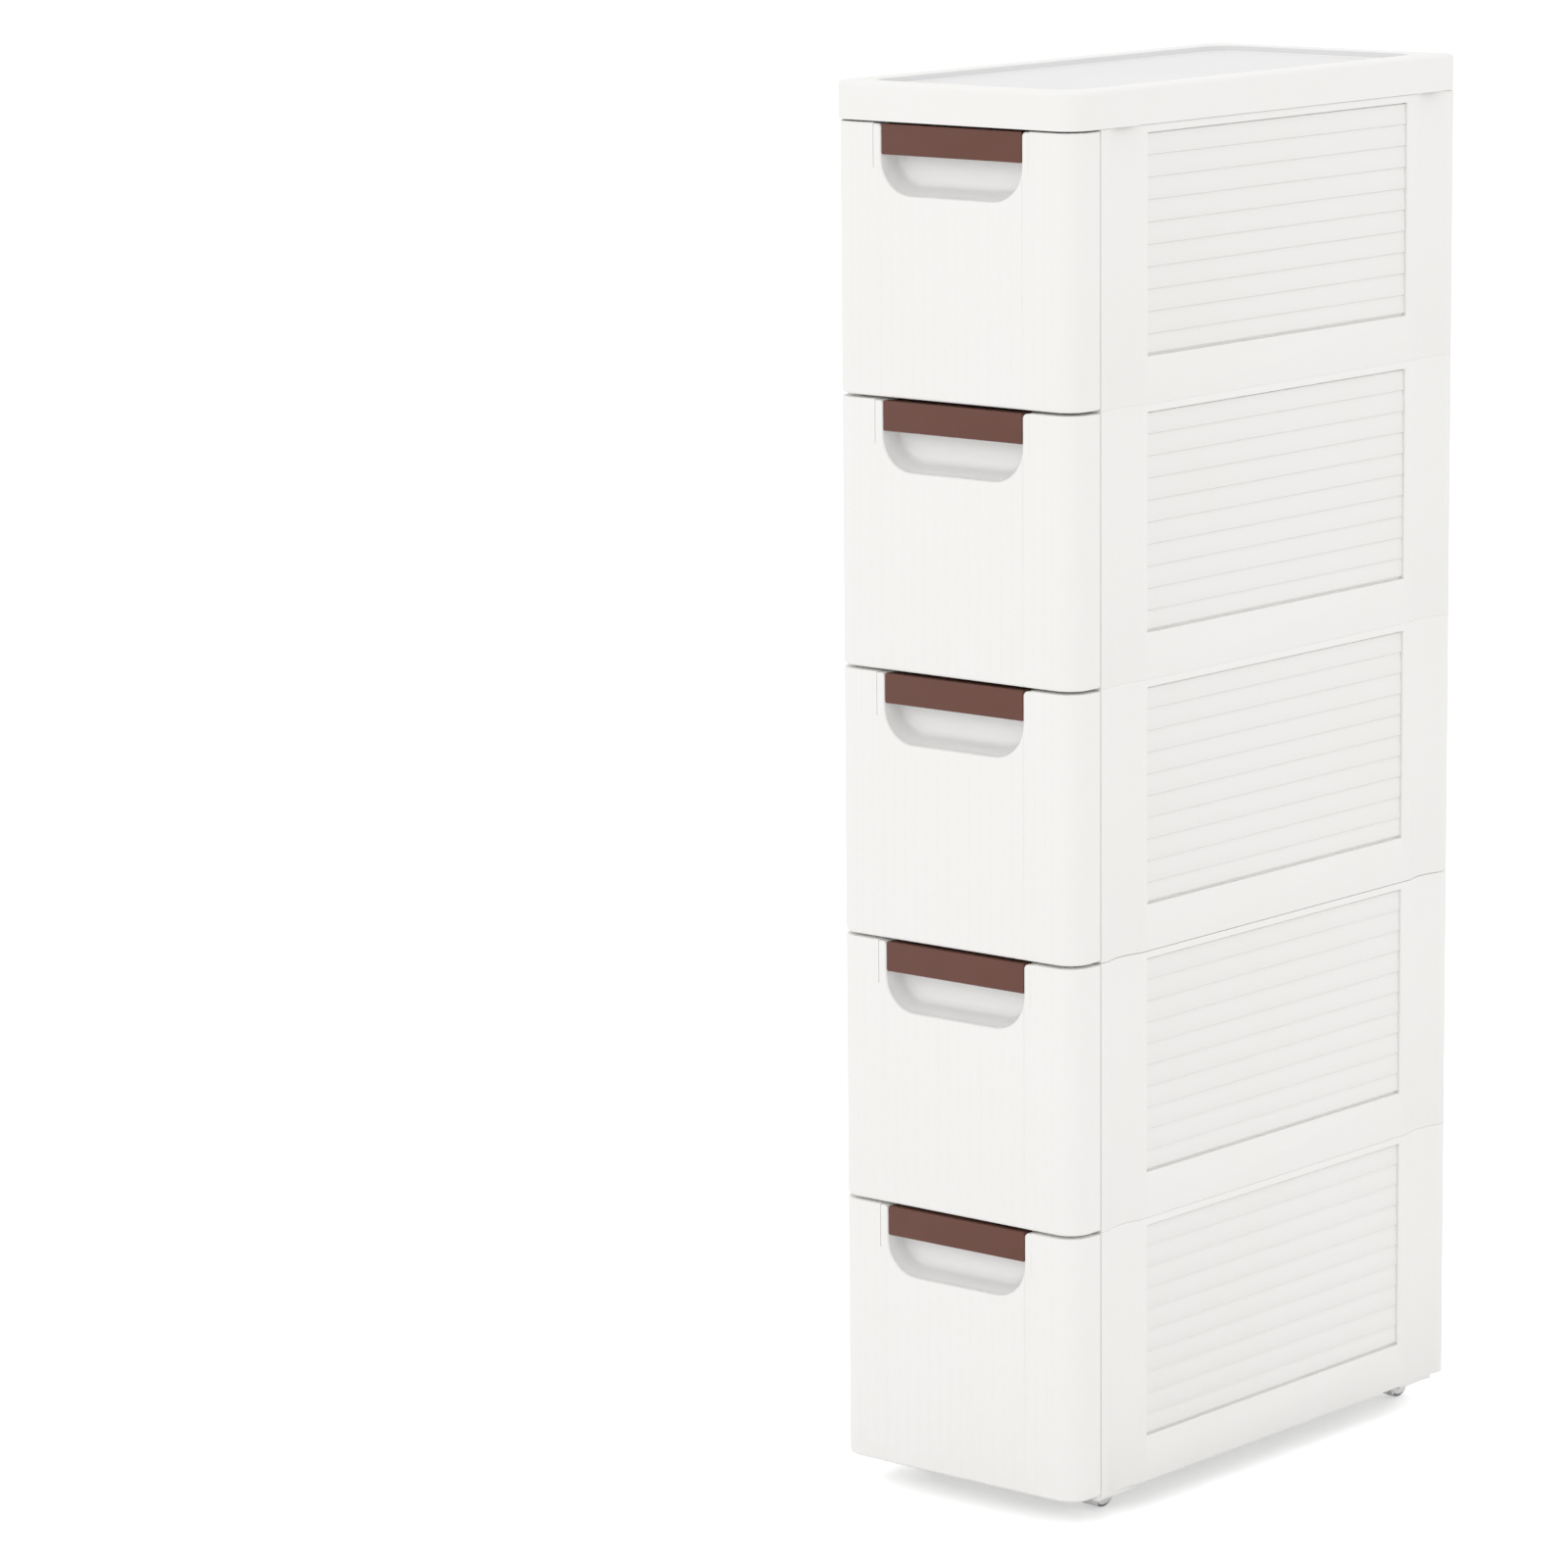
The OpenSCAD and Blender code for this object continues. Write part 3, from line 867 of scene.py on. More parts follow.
@dataclass
class TopCover:
    """The cover: a shallow tray with a wide rim and a skirt over the walls."""

    tower: Tower
    overhang: float = 1.0
    height: float = 24.8
    gap: float = 0.2
    corner: float = 17.0
    rear_corner: float = 4.0
    rim: float = 17.0
    tray_depth: float = 5.0
    tray_corner: float = 20.0
    tray_foot: float = 1.1
    tray_brim: float = 0.9
    tray_wall: float = 3.1
    wall: float = 2.5
    inner_rear_corner: float = 2.0
    edge: float = 3.0
    low_edge: float = 0.2
    flat: float = 0.97
    steep: float = 0.3

    def _corners(self, blank: Blank, front: float, rear: float) -> None:
        """Rounds a blank's upright edges.

        Args:
            blank: the blank.
            front: the radius of the front corners.
            rear: the radius of the rear corners.
        """
        upright = along(Axis.Z)
        blank.edges(lambda a, b: upright(a, b) and a.y < 0).bevel(front, 18)
        blank.edges(lambda a, b: upright(a, b) and a.y > 0).bevel(rear, 12)

    def build(self) -> None:
        """Models and dresses the cover."""
        t, w = self.tower, self.wall
        half, deep = t.half + self.overhang, t.rear + self.overhang
        low = t.top + self.gap
        high = low + self.height
        floor = high - self.tray_depth
        cover = Blank.block("top_cover_moulding", (-half, half), (-deep, deep), (low, high))
        self._corners(cover, self.corner, self.rear_corner)
        cover.edges(level(high)).bevel(self.edge, 6)
        x, y = half - self.rim, deep - self.rim
        tray = Blank.block("tray_tool", (-x, x), (-y, y), (floor, high + CLEAR))
        self._corners(tray, self.tray_corner, self.tray_corner)
        tray.edges(level(floor)).bevel(self.tray_foot, 5)
        cover.cut(tray)
        cover.edges(lambda a, b: level(high)(a, b) and max(abs(a.x), abs(b.x)) < x + SLACK)
        cover.bevel(self.tray_brim, 3)
        under = (low - CLEAR, floor - self.tray_wall)
        hollow = Blank.block("hollow_tool", (w - half, half - w), (w - deep, deep - w), under)
        self._corners(hollow, self.corner - w, self.inner_rear_corner)
        cover.cut(hollow)
        cover.edges(level(low)).bevel(self.low_edge, 1)

        def in_tray(p: Vector) -> bool:
            """True inside the tray, below its rounded brim."""
            below = floor - SLACK < p.z < high - self.tray_brim - SLACK / 2
            return below and abs(p.x) < x + SLACK and abs(p.y) < y + SLACK

        cover.line(TRAY_WHITE, lambda p, n: in_tray(p) and n.z > self.flat)
        # Painted shade: the upright inner walls of the tray take the greyer finish.
        cover.line(TRAY_WALL_PAINTED_SHADE, lambda p, n: in_tray(p) and n.z < self.steep)
        cover.dress(WHITE, "top_cover")


@dataclass
class SideWalls:
    """The side walls: a louvred field between two posts with a shallow scallop each."""

    tower: Tower
    seam: float = 0.2
    joints: tuple[float, ...] = (0.2, 0.05, 0.06, 0.5, 0.2)
    joint_band: float = 1.0
    skin: float = 4.5
    post: float = 10.5
    post_length: float = 46.0
    scallop_width: float = 34.0
    scallop_depth: float = 3.0
    scallop_inset: float = 25.5
    scallop_strips: int = 14
    field_front: float = 77.0
    field_rear: float = 54.0
    field_low: float = 31.0
    field_high: float = 5.0
    slats: int = 10
    slat_low: float = 1.0
    slat_high: float = 1.7
    line: float = 0.32
    line_depth: float = 2.0
    top_line: float = 0.9
    groove: float = 2.2
    groove_depth: float = 3.3
    rear_groove: float = 0.22
    rear_groove_depth: float = 2.2
    edge: float = 0.12
    slot_depth: float = 3.8
    slot_y: tuple[float, float] = (5.2, 2.4)
    slot_over: float = 20.0
    ledge_z: tuple[float, ...] = (9.4, 24.2)
    ledge: tuple[float, float] = (4.6, 2.6)
    ledge_gap: float = 1.0
    ledge_root: float = 0.5
    spigot_gap: float = 1.6
    spigot_inset: float = 4.6
    spigot_rear: float = 6.6
    spigot_z: tuple[float, float] = (-4.0, 1.0)
    part_edge: float = 0.4

    def _scallop(self, wall: Blank, middle: float) -> None:
        """Hollows a post's outer face along its height.

        Args:
            wall: the wall.
            middle: the Y of the hollow's middle.
        """
        x, strips = self.tower.half, self.scallop_strips
        wide, deep = self.scallop_width / 2, self.scallop_depth
        radius = (wide * wide + deep * deep) / (2 * deep)
        places = [middle - wide + self.scallop_width * i / strips for i in range(strips + 1)]
        wall.slice(Axis.Y, places, lambda c, n: n.x > FACING)
        for place in places[1:-1]:
            off = place - middle
            sink = math.sqrt(radius * radius - off * off) - (radius - deep)
            wall.points(lambda p, at=place: p.x > x - NEAR and near(p.y, at)).move(x=-sink)

    def _louvres(self, wall: Blank, z0: float) -> None:
        """Sinks the field of overlapping slats into the outer face.

        Args:
            wall: the wall.
            z0: the height of the tier's bottom.
        """
        t = self.tower
        y0, y1 = t.front + self.field_front, t.rear - self.field_rear
        z_low, z_high = z0 + self.field_low, z0 + t.tier - self.field_high
        pitch = (z_high - z_low) / self.slats
        tops = [z_low + pitch * (i + 1) for i in range(self.slats)]
        heels = [top - self.line for top in tops[:-1]] + [z_high - self.top_line]
        foot = z_low + self.groove

        def outer(c: Vector, n: Vector) -> bool:
            """True for the wall's flat outer faces."""
            return n.x > FACING and c.x > t.half - NEAR

        def strip(low: float, high: float) -> FaceTest:
            """A test for the field's outward faces between two heights."""
            return lambda c, n: n.x > FACING and y0 < c.y < y1 and low < c.z < high

        cuts = (z_low, foot, *tops, *heels)
        wall.slice(Axis.Y, (y0, y1), outer)
        wall.slice(Axis.Z, cuts, lambda c, n: outer(c, n) and y0 < c.y < y1)
        wall.faces(strip(z_low, z_high)).extrude(x=-self.slat_low)
        for low, high in ((z_low, foot), (heels[-1], tops[-1])):
            wall.faces(strip(low, high)).extrude(x=self.slat_low - self.groove_depth)
        wall.faces(lambda c, n: any(strip(a, b)(c, n) for a, b in zip(heels[:-1], tops[:-1])))
        wall.extrude(x=self.slat_low - self.line_depth)
        face = t.half - self.slat_low
        wall.points(lambda p: near(p.x, face) and any(near(p.z, heel) for heel in heels))
        wall.move(x=self.slat_low - self.slat_high)
        x = (t.half - self.rear_groove_depth, t.half + POKE)
        wall.cut(Blank.block("rear_groove_tool", x, (y1 - self.rear_groove, y1), (z_low, z_high)))

    def _fittings(self, z0: float) -> list[Blank]:
        """Models what holds the tiers together.

        Args:
            z0: the height of the tier's bottom.

        Returns:
            The ledges that carry the shelves, and the spigots that plug into the wall below.
        """
        t = self.tower
        inner, post = t.half - self.skin, t.half - self.post
        y0, y1 = t.wall_y + self.post_length, t.rear - self.post_length
        reach, thick = self.ledge
        x, y = (inner - reach, inner + self.ledge_root), (y0 + self.ledge_gap, y1 - self.ledge_gap)
        parts = [Blank.block("ledge", x, y, (z0 + a, z0 + a + thick)) for a in self.ledge_z]
        gap = self.spigot_gap
        x, z = (post + gap, t.half - self.spigot_inset), [z0 + a for a in self.spigot_z]
        for y in ((t.wall_y + gap, y0 - gap), (y1 + gap, t.rear - self.spigot_rear)):
            parts.append(Blank.block("spigot", x, y, z))
        for part in parts:
            part.round_over(self.part_edge, 2)
        return parts

    def build(self) -> None:
        """Models the right wall of the highest tier, then copies and mirrors it."""
        t = self.tower
        z0 = t.floor_of(1)
        inner, post = t.half - self.skin, t.half - self.post
        y0, y1 = t.wall_y + self.post_length, t.rear - self.post_length
        z = (z0 + self.seam / 2, z0 + t.tier - self.seam / 2)
        wall = Blank.block("wall_blank", (inner, t.half), (t.wall_y, t.rear), z)
        wall.slice(Axis.Y, (y0, y1))
        wall.faces(lambda c, n: n.x < -FACING and not y0 < c.y < y1).extrude(x=post - inner)
        self._scallop(wall, t.wall_y + self.scallop_inset)
        self._scallop(wall, t.rear - self.scallop_inset)
        self._louvres(wall, z0)
        x, y = (post - POKE, post + self.slot_depth), [t.rear - a for a in self.slot_y]
        wall.cut(Blank.block("slot_tool", x, y, (z0 - POKE, z0 + t.tier + self.slot_over)))
        wall.round_over(self.edge, 2)
        wall.join(*self._fittings(z0))
        other = wall.mirrored("left_wall_blank")
        for n, drop in t.levels():
            high = t.floor_of(n) + t.tier - self.joint_band
            for blank, side in ((wall, "right"), (other, "left")):
                piece = blank.twin(f"{side}_wall_moulding_{n}", z=drop)
                piece.points(lambda p: p.z > high).move(z=self.seam - self.joints[n - 1])
                piece.dress(WHITE, f"tier_{n}_{side}_wall")
        wall.discard()
        other.discard()


@dataclass
class BackPanels:
    """The back panels: thin boards with level ribs, held in the posts' grooves."""

    tower: Tower
    half: float = 93.6
    thickness: float = 2.4
    inset: float = 2.6
    rib_half: float = 68.0
    rib: float = 0.9
    rib_gap: float = 0.6
    ribs: int = 10
    ribs_low: float = 31.0
    ribs_high: float = 5.0
    seam: float = 0.2
    edge: float = 0.3

    def build(self) -> None:
        """Models one panel and copies it to each tier."""
        t = self.tower
        z0, z1, y1 = t.floor_of(1), t.top, t.rear - self.inset
        y, z = (y1 - self.thickness, y1), (z0 + self.seam, z1 - self.seam)
        panel = Blank.block("panel_blank", (-self.half, self.half), y, z)
        low, high = z0 + self.ribs_low, z1 - self.ribs_high
        pitch = (high - low) / self.ribs
        width = pitch - self.rib_gap

        def ribbed(c: Vector, n: Vector) -> bool:
            """True for the rear faces between the plain borders."""
            return n.y > FACING and abs(c.x) < self.rib_half

        panel.slice(Axis.X, (-self.rib_half, self.rib_half), lambda c, n: n.y > FACING)
        starts = [low + pitch * i for i in range(self.ribs)]
        panel.slice(Axis.Z, sorted(starts + [s + width for s in starts]), ribbed)
        for s in starts:
            panel.faces(lambda c, n, a=s: ribbed(c, n) and a < c.z < a + width).extrude()
            panel.keep(lambda p, a=s: near(p.z, a)).move(y=self.rib)
        panel.tidy().round_over(self.edge, 2)
        for n, drop in t.levels():
            panel.twin(f"back_panel_moulding_{n}", z=drop).dress(WHITE, f"tier_{n}_back_panel")
        panel.discard()


@dataclass
class Drawers:
    """The drawers: reeded front, tub, finger cup and handle."""

    tower: Tower
    # The front
    gap: float = 2.0
    front_depth: float = 27.0
    corner: float = 16.5
    wall: float = 3.0
    top_edge: float = 1.0
    low_edge: float = 2.2
    reed_pitch: float = 9.0
    reed_width: float = 1.6
    reed_depth: float = 0.2
    reed_reach: float = 2.6
    field_half: float = 82.0
    # The finger opening, how far its tools stand out in front, and the cup behind it
    grip_half: float = 58.0
    grip_height: float = 47.0
    grip_corner: float = 24.0
    before: float = 6.0
    rim: float = 1.8
    ear: float = 6.0
    ear_height: float = 30.0
    ear_back: float = 0.25
    ear_gap: float = 0.25
    ear_corner: float = 3.2
    shoulder_length: float = 2.6
    cup_depth: float = 18.9
    cup_gap: float = 0.3
    cup_wall: float = 2.0
    cup_rise: float = 4.0
    cup_draw: float = 2.0
    cup_fillet: float = 5.0
    belly_corner: float = 18.0
    belly_lap: float = 1.0
    bowl_start: float = 0.7
    bowl_middle: float = 20.0
    bowl_front: float = 2.5
    # The handle
    handle_drop: float = 1.3
    handle_back: float = 0.4
    handle_gap: float = 0.3
    handle_edge: float = 1.1
    lip_height: float = 20.0
    lip: float = 4.5
    plate: float = 3.0
    # The tub, with the wall that closes the front's rear
    tub_half: float = 89.0
    tub_rear: float = 12.0
    tub_floor: float = 25.3
    tub_rim: float = 15.0
    tub_wall: float = 2.2
    tub_corner: float = 10.0
    tub_foot: float = 3.0
    bead: float = 1.2
    bead_height: float = 4.0
    closer: float = 2.4
    closer_half: float = 97.2
    closer_edge: float = 4.3
    skid: tuple[float, float] = (77.0, 83.0)
    skid_height: float = 1.0
    skid_gap: tuple[float, float] = (4.0, 10.0)
    lug: tuple[float, float] = (41.0, 49.0)
    lug_low: float = 21.8
    lug_y: tuple[float, float] = (14.0, 6.0)
    root: float = 0.5
    tub_edge: float = 0.5
    part_edge: float = 0.4

    def _grip_tool(self, line: float, depth: tuple[float, float]) -> Blank:
        """A block with the finger opening's outline.

        Args:
            line: the height of the tier's top.
            depth: its lowest and highest Y.

        Returns:
            The tool.
        """
        half, low = self.grip_half, line - self.grip_height
        tool = Blank.block("grip_tool", (-half, half), depth, (low, line + CLEAR))
        return tool.edges(along(Axis.Y, z=low)).bevel(self.grip_corner, 14)

    def _front(self) -> Blank:
        """Models the front of the highest drawer.

        Returns:
            The front.
        """
        t = self.tower
        line = t.top
        low, high = t.floor_of(1) + self.gap / 2, line - self.gap / 2
        y0, y1 = t.front, t.front + self.front_depth
        front = Blank.block("front_blank", (-t.half, t.half), (y0, y1), (low, high))
        front.edges(along(Axis.Z, y=y0)).bevel(self.corner, 16)
        front.faces(lambda c, n: n.y > FACING).drop_faces()
        front.shell(self.wall)

        def rolled(z: float) -> EdgeTest:
            """A test for the outer edges at one height, the open rear left out."""
            return lambda a, b: level(z)(a, b) and not (near(a.y, y1) and near(b.y, y1))

        front.edges(rolled(high)).bevel(self.top_edge, 3)
        front.edges(rolled(low)).bevel(self.low_edge, 5)
        front.cut(self._grip_tool(line, (y0 - self.before, y0 + self.wall + self.root)))
        ear, ear_low = self.grip_half + self.ear + self.ear_gap, line - self.ear_height
        y = (y0 - self.before, y0 + self.cup_depth + self.cup_gap)
        front.cut(Blank.block("ear_tool", (-ear, ear), y, (ear_low, line + self.before)))

        def lip_edge(a: Vector, b: Vector) -> bool:
            """True for the opening's front edge below the ears."""
            flush = near(a.y, y0) and near(b.y, y0)
            inside = max(abs(a.x), abs(b.x)) < self.grip_half + SLACK
            below = max(a.z, b.z) < ear_low + SLACK
            return flush and inside and below and min(a.z, b.z) > line - self.grip_height - SLACK

        front.edges(lip_edge).bevel(self.rim, 5)
        self._reeds(front, y0)
        return front

    def _reeds(self, front: Blank, y0: float) -> None:
        """Cuts the shallow upright grooves into the front's face.

        Args:
            front: the front.
            y0: the Y of its face.
        """
        count = int((self.field_half - self.reed_pitch / 2) // self.reed_pitch) + 1
        places = [self.reed_pitch * (i + 0.5) for i in range(count)] + [self.field_half]
        wide, reach = self.reed_width / 2, y0 + self.reed_reach
        for x in sorted([-p for p in places] + places):
            front.slice(Axis.X, (x - wide, x, x + wide), lambda c, n: c.y < reach + SLACK)
            front.points(lambda p, at=x: near(p.x, at) and p.y < reach).move(y=self.reed_depth)

    def _cup(self) -> Blank:
        """Models the finger cup of the highest drawer.

        Returns:
            The cup.
        """
        t, grip = self.tower, self.grip_half
        line, y0 = t.top, t.front
        y1, face, brim = y0 + self.cup_depth, y0 + self.ear_back, line - self.handle_drop
        ear, ear_low = grip + self.ear, line - self.ear_height
        out, low = grip + self.cup_wall, line - self.grip_height - self.cup_wall
        cup = Blank.block("cup_blank", (-ear, ear), (face, y1), (ear_low, brim))
        z = (low, ear_low + self.belly_lap)
        belly = Blank.block("belly", (-out, out), (y0 + self.wall, y1), z)
        cup.weld(belly.edges(along(Axis.Y, z=low)).bevel(self.belly_corner, 12))
        back = y1 - self.cup_wall
        bowl = self._grip_tool(line, (y0 - self.before, back))
        bowl.slice(Axis.Y, (y0 + self.bowl_start + self.lip,))
        narrow, tall = 1 - self.cup_draw / grip, self.grip_height + CLEAR
        bowl.points(lambda p: near(p.y, back))
        bowl.scale((narrow, 1, (tall - self.cup_rise) / tall), (0, back, line + CLEAR))
        bowl.edges(lambda a, b: near(a.y, back) and near(b.y, back) and min(a.z, b.z) < line + 1)
        bowl.bevel(self.cup_fillet, 7)
        cup.cut(bowl)

        def shoulder(a: Vector, b: Vector) -> bool:
            """True for the top edges along the bowl's sides."""
            inner, outer = sorted((abs(a.x), abs(b.x)))
            beside = grip - self.cup_draw - SLACK < inner and outer < grip + SLACK
            return level(brim)(a, b) and beside and abs(a.y - b.y) > self.shoulder_length

        def facing(a: Vector, b: Vector) -> bool:
            """True for an ear's front edges, its outer and lower ones left out."""
            flush = near(a.y, face) and near(b.y, face)
            inner = min(abs(a.x), abs(b.x)) < ear - SLACK
            return flush and inner and max(a.z, b.z) > ear_low + SLACK

        def inside(p: Vector, n: Vector) -> bool:
            """True on the bowl, whose faces look at its middle or forward."""
            inwards = n.x * p.x + n.z * (p.z - line + self.bowl_middle) < -SLACK or n.y < -FACING
            deep = y0 + self.bowl_front < p.y < back + SLACK
            return inwards and deep and abs(p.x) < grip + SLACK

        cup.edges(shoulder).bevel(self.ear_corner, 5)
        cup.edges(facing).bevel(self.rim - self.ear_back, 5)
        # The bowl takes the polished lining, whose extra whiteness is painted light that lifts the
        # recess's shade.
        return cup.line(BOWL_PAINTED_LIGHT, inside)

    def _handle(self) -> Blank:
        """Models the handle of the highest drawer.

        Returns:
            The handle.
        """
        t = self.tower
        line, half = t.top - self.handle_drop, self.grip_half - self.handle_gap
        y0 = t.front + self.handle_back
        y1, under = y0 + self.lip, line - self.plate
        z = (line - self.lip_height, line)
        handle = Blank.block("handle_blank", (-half, half), (y0, y1), z)
        handle.slice(Axis.Z, (under,))
        reach = t.front + self.cup_depth - self.cup_wall - self.handle_gap - y1
        handle.faces(lambda c, n: n.y > FACING and c.z > under).extrude(y=reach)
        handle.scale(((half - self.cup_draw) / half, 1, 1), (0, 0, 0))
        return handle.round_over(self.handle_edge, 4)

    def _tub(self) -> Blank:
        """Models the tub of the highest drawer.

        Returns:
            The tub.
        """
        t, half = self.tower, self.tub_half
        z0, rear, y0 = t.floor_of(1), t.rear - self.tub_rear, t.front + self.cup_depth
        floor, rim, y1 = z0 + self.tub_floor, t.top - self.tub_rim, y0 + self.closer
        tub = Blank.block("tub_blank", (-half, half), (y1, rear), (floor, rim))
        tub.edges(along(Axis.Z, y=rear)).bevel(self.tub_corner, 10)
        tub.faces(lambda c, n: n.z > FACING).drop_faces()
        tub.edges(lambda a, b: level(floor)(a, b) and max(a.y, b.y) > y1 + SLACK)
        tub.bevel(self.tub_foot, 4)
        tub.shell(self.tub_wall)
        tub.slice(Axis.Z, (rim - self.bead_height,))

        def bead(c: Vector, n: Vector) -> bool:
            """True for the inner faces just under the rim."""
            inwards = n.x * c.x + n.y * (c.y - (y1 + rear) / 2) < 0
            return c.z > rim - self.bead_height and abs(n.z) < FACING and inwards

        tub.faces(bead).swell(self.bead)
        tub.round_over(self.tub_edge, 2)
        low, high = z0 + self.closer_edge, t.top - self.closer_edge
        wide = self.closer_half
        parts = [Blank.block("plate", (-wide, wide), (y0, y1), (low, high))]
        skid_y = (y1 + self.skid_gap[0], rear - self.skid_gap[1])
        lug_y = [rear - a for a in self.lug_y]
        for name, x, y, low in (
            ("skid", self.skid, skid_y, floor - self.skid_height),
            ("lug", self.lug, lug_y, z0 + self.lug_low),
        ):
            for s in (-1, 1):
                parts.append(Blank.block(name, [s * a for a in x], y, (low, floor + self.root)))
        for part in parts:
            part.round_over(self.part_edge, 2)
        return tub.join(*parts)

    def build(self) -> None:
        """Models the highest drawer and copies it to each tier."""
        for blank, word, finish in (
            (self._front(), "front", WHITE),
            (self._cup(), "finger_cup", CUP_WHITE),
            (self._handle(), "handle", BROWN),
            (self._tub(), "tub", WHITE),
        ):
            for n, drop in self.tower.levels():
                node = f"drawer_{n}_{word}"
                blank.twin(f"{node}_moulding", z=drop).dress(finish, node)
            blank.discard()


@dataclass
class Casters:
    """The casters: under each corner a grey wheel in a fork that is closed in front."""

    tower: Tower
    wheel_r: float = 11.5
    wheel_w: float = 7.0
    wheel_edge: float = 0.7
    hub_rim: float = 2.4
    hub_sink: float = 1.2
    hub_ring: float = 5.2
    axle_r: float = 1.55
    trail: float = 5.0
    inset_x: float = 28.5
    inset_front: float = 30.0
    inset_rear: float = 21.0
    crown: float = 25.0
    crown_t: float = 3.0
    crown_r: float = 7.0
    pin_r: float = 3.2
    bore: float = 12.0
    deck_y: tuple[float, float] = (-2.0, 12.0)
    cheek: float = 1.9
    wheel_gap: float = 0.6
    cheek_r: float = 8.2
    cheek_lead: float = 1.2
    cheek_drop: float = 0.3
    cheek_reach: float = 2.6
    cheek_root: float = 1.0
    brow: float = 6.6
    brow_t: float = 2.0
    brow_low: float = 20.5
    hood_gap: float = 0.7
    hood_t: float = 1.5
    hood_y: float = 12.0
    hood_z: tuple[float, float] = (3.5, 23.0)
    edge: float = 0.35
    root: float = 0.5

    def _hood(self, pin: Vector, half: float) -> Blank:
        """Models the curved wall that closes a fork in front of its wheel.

        Args:
            pin: the place of the fork's pin on the floor.
            half: half the fork's width.

        Returns:
            The wall.
        """
        x, y, _ = pin
        axle = pin + Vector((0, self.trail, self.wheel_r))
        inner, wide = self.wheel_r + self.hood_gap, 2 * half
        hood = Blank.rod("hood", axle, inner + self.hood_t, wide, Axis.X, 72)
        hood.cut(Blank.rod("wheel_room_tool", axle, inner, wide + 2 * POKE, Axis.X, 72))
        front, back = y - self.brow, y - self.brow + self.brow_t
        across = (x - half - POKE, x + half + POKE)
        kept = Blank.block("front_tool", across, (y - self.hood_y, back), self.hood_z)
        hood.cut(kept, Keep.SHARED)
        z = (self.brow_low, self.crown + self.root)
        return hood.weld(Blank.block("brow", (x - half, x + half), (front, back), z))

    def _fork(self, pin: Vector) -> Blank:
        """Models a fork.

        Args:
            pin: the place of the fork's pin on the floor.

        Returns:
            The fork.
        """
        x, y, _ = pin
        low, high = self.crown, self.crown + self.crown_t
        half = self.wheel_w / 2 + self.wheel_gap + self.cheek
        middle = Vector((x, y, (low + high) / 2))
        fork = Blank.rod("fork", middle, self.crown_r, self.crown_t, Axis.Z)
        deck_y = [y + a for a in self.deck_y]
        deck = Blank.block("deck", (x - half, x + half), deck_y, (low, high))
        top_y, top_z = (y - self.brow, deck_y[1]), (self.wheel_r, low + self.cheek_root)
        for side in (x - half, x + half - self.cheek):
            disc = Vector((side + self.cheek / 2, y + self.trail, self.wheel_r))
            disc -= Vector((0, self.cheek_lead, self.cheek_drop))
            cheek = Blank.rod("cheek", disc, self.cheek_r, self.cheek, Axis.X, 72)
            disc.y -= self.cheek_reach
            cheek.weld(Blank.rod("cheek_front", disc, self.cheek_r, self.cheek, Axis.X, 72))
            cheek.weld(Blank.block("cheek_top", (side, side + self.cheek), top_y, top_z))
            deck.weld(cheek)
        fork.weld(deck).weld(self._hood(pin, half))
        middle = Vector((x, y, self.crown))
        fork.cut(Blank.rod("bore_tool", middle, self.pin_r, self.bore, Axis.Z))
        return fork.round_over(self.edge, 2)

    def _wheel(self, pin: Vector) -> Blank:
        """Models a wheel.

        Args:
            pin: the place of the fork's pin on the floor.

        Returns:
            The wheel.
        """
        centre = pin + Vector((0, self.trail, self.wheel_r))
        wheel = Blank.rod("wheel", centre, self.wheel_r, self.wheel_w, Axis.X, 64)
        for s in (-1, 1):
            wheel.faces(lambda c, n, s=s: n.x * s > FACING)
            wheel.inset(self.hub_rim).extrude(x=-self.hub_sink * s)
            wheel.inset(self.hub_ring).extrude(x=self.hub_sink * s)
        wheel.cut(Blank.rod("bore_tool", centre, self.axle_r, self.bore, Axis.X, 24))
        return wheel.round_over(self.wheel_edge, 3, 50)

    def build(self) -> None:
        """Models the front left caster and copies it to each corner."""
        t = self.tower
        x = t.half - self.inset_x
        front, rear = t.wall_y + self.inset_front, t.rear - self.inset_rear
        pin = Vector((-x, front, 0.0))
        fork, wheel = self._fork(pin), self._wheel(pin)
        for corner, dx, dy in (
            ("front_left", 0.0, 0.0),
            ("front_right", 2 * x, 0.0),
            ("rear_left", 0.0, rear - front),
            ("rear_right", 2 * x, rear - front),
        ):
            for blank, word, finish in ((fork, "fork", CASTER_WHITE), (wheel, "wheel", WHEEL_GREY)):
                piece = blank.twin(f"{corner}_{word}_moulding", x=dx, y=dy)
                piece.dress(finish, f"{corner}_caster_{word}")
        fork.discard()
        wheel.discard()


@dataclass
class CarriedOver:
    """The CAD nodes whose shape is right as it is: shelves, base, stems and axles."""

    plastic: tuple[str, ...] = ("shelf", "base_frame")
    steel: tuple[str, ...] = ("stem", "axle")

    def build(self) -> None:
        """Gives each of these nodes its finish."""
        for name, node in frame["nodes"].items():
            if name.endswith(self.plastic):
                finish: Finish = WHITE
            elif name.endswith(self.steel):
                finish = ZINC
            else:
                continue
            node.data.materials.clear()
            node.data.materials.append(finish.material())
            log.info("%s keeps its CAD shape, in %s", name, finish.name)


# ---- The studio ------------------------------------------------------------


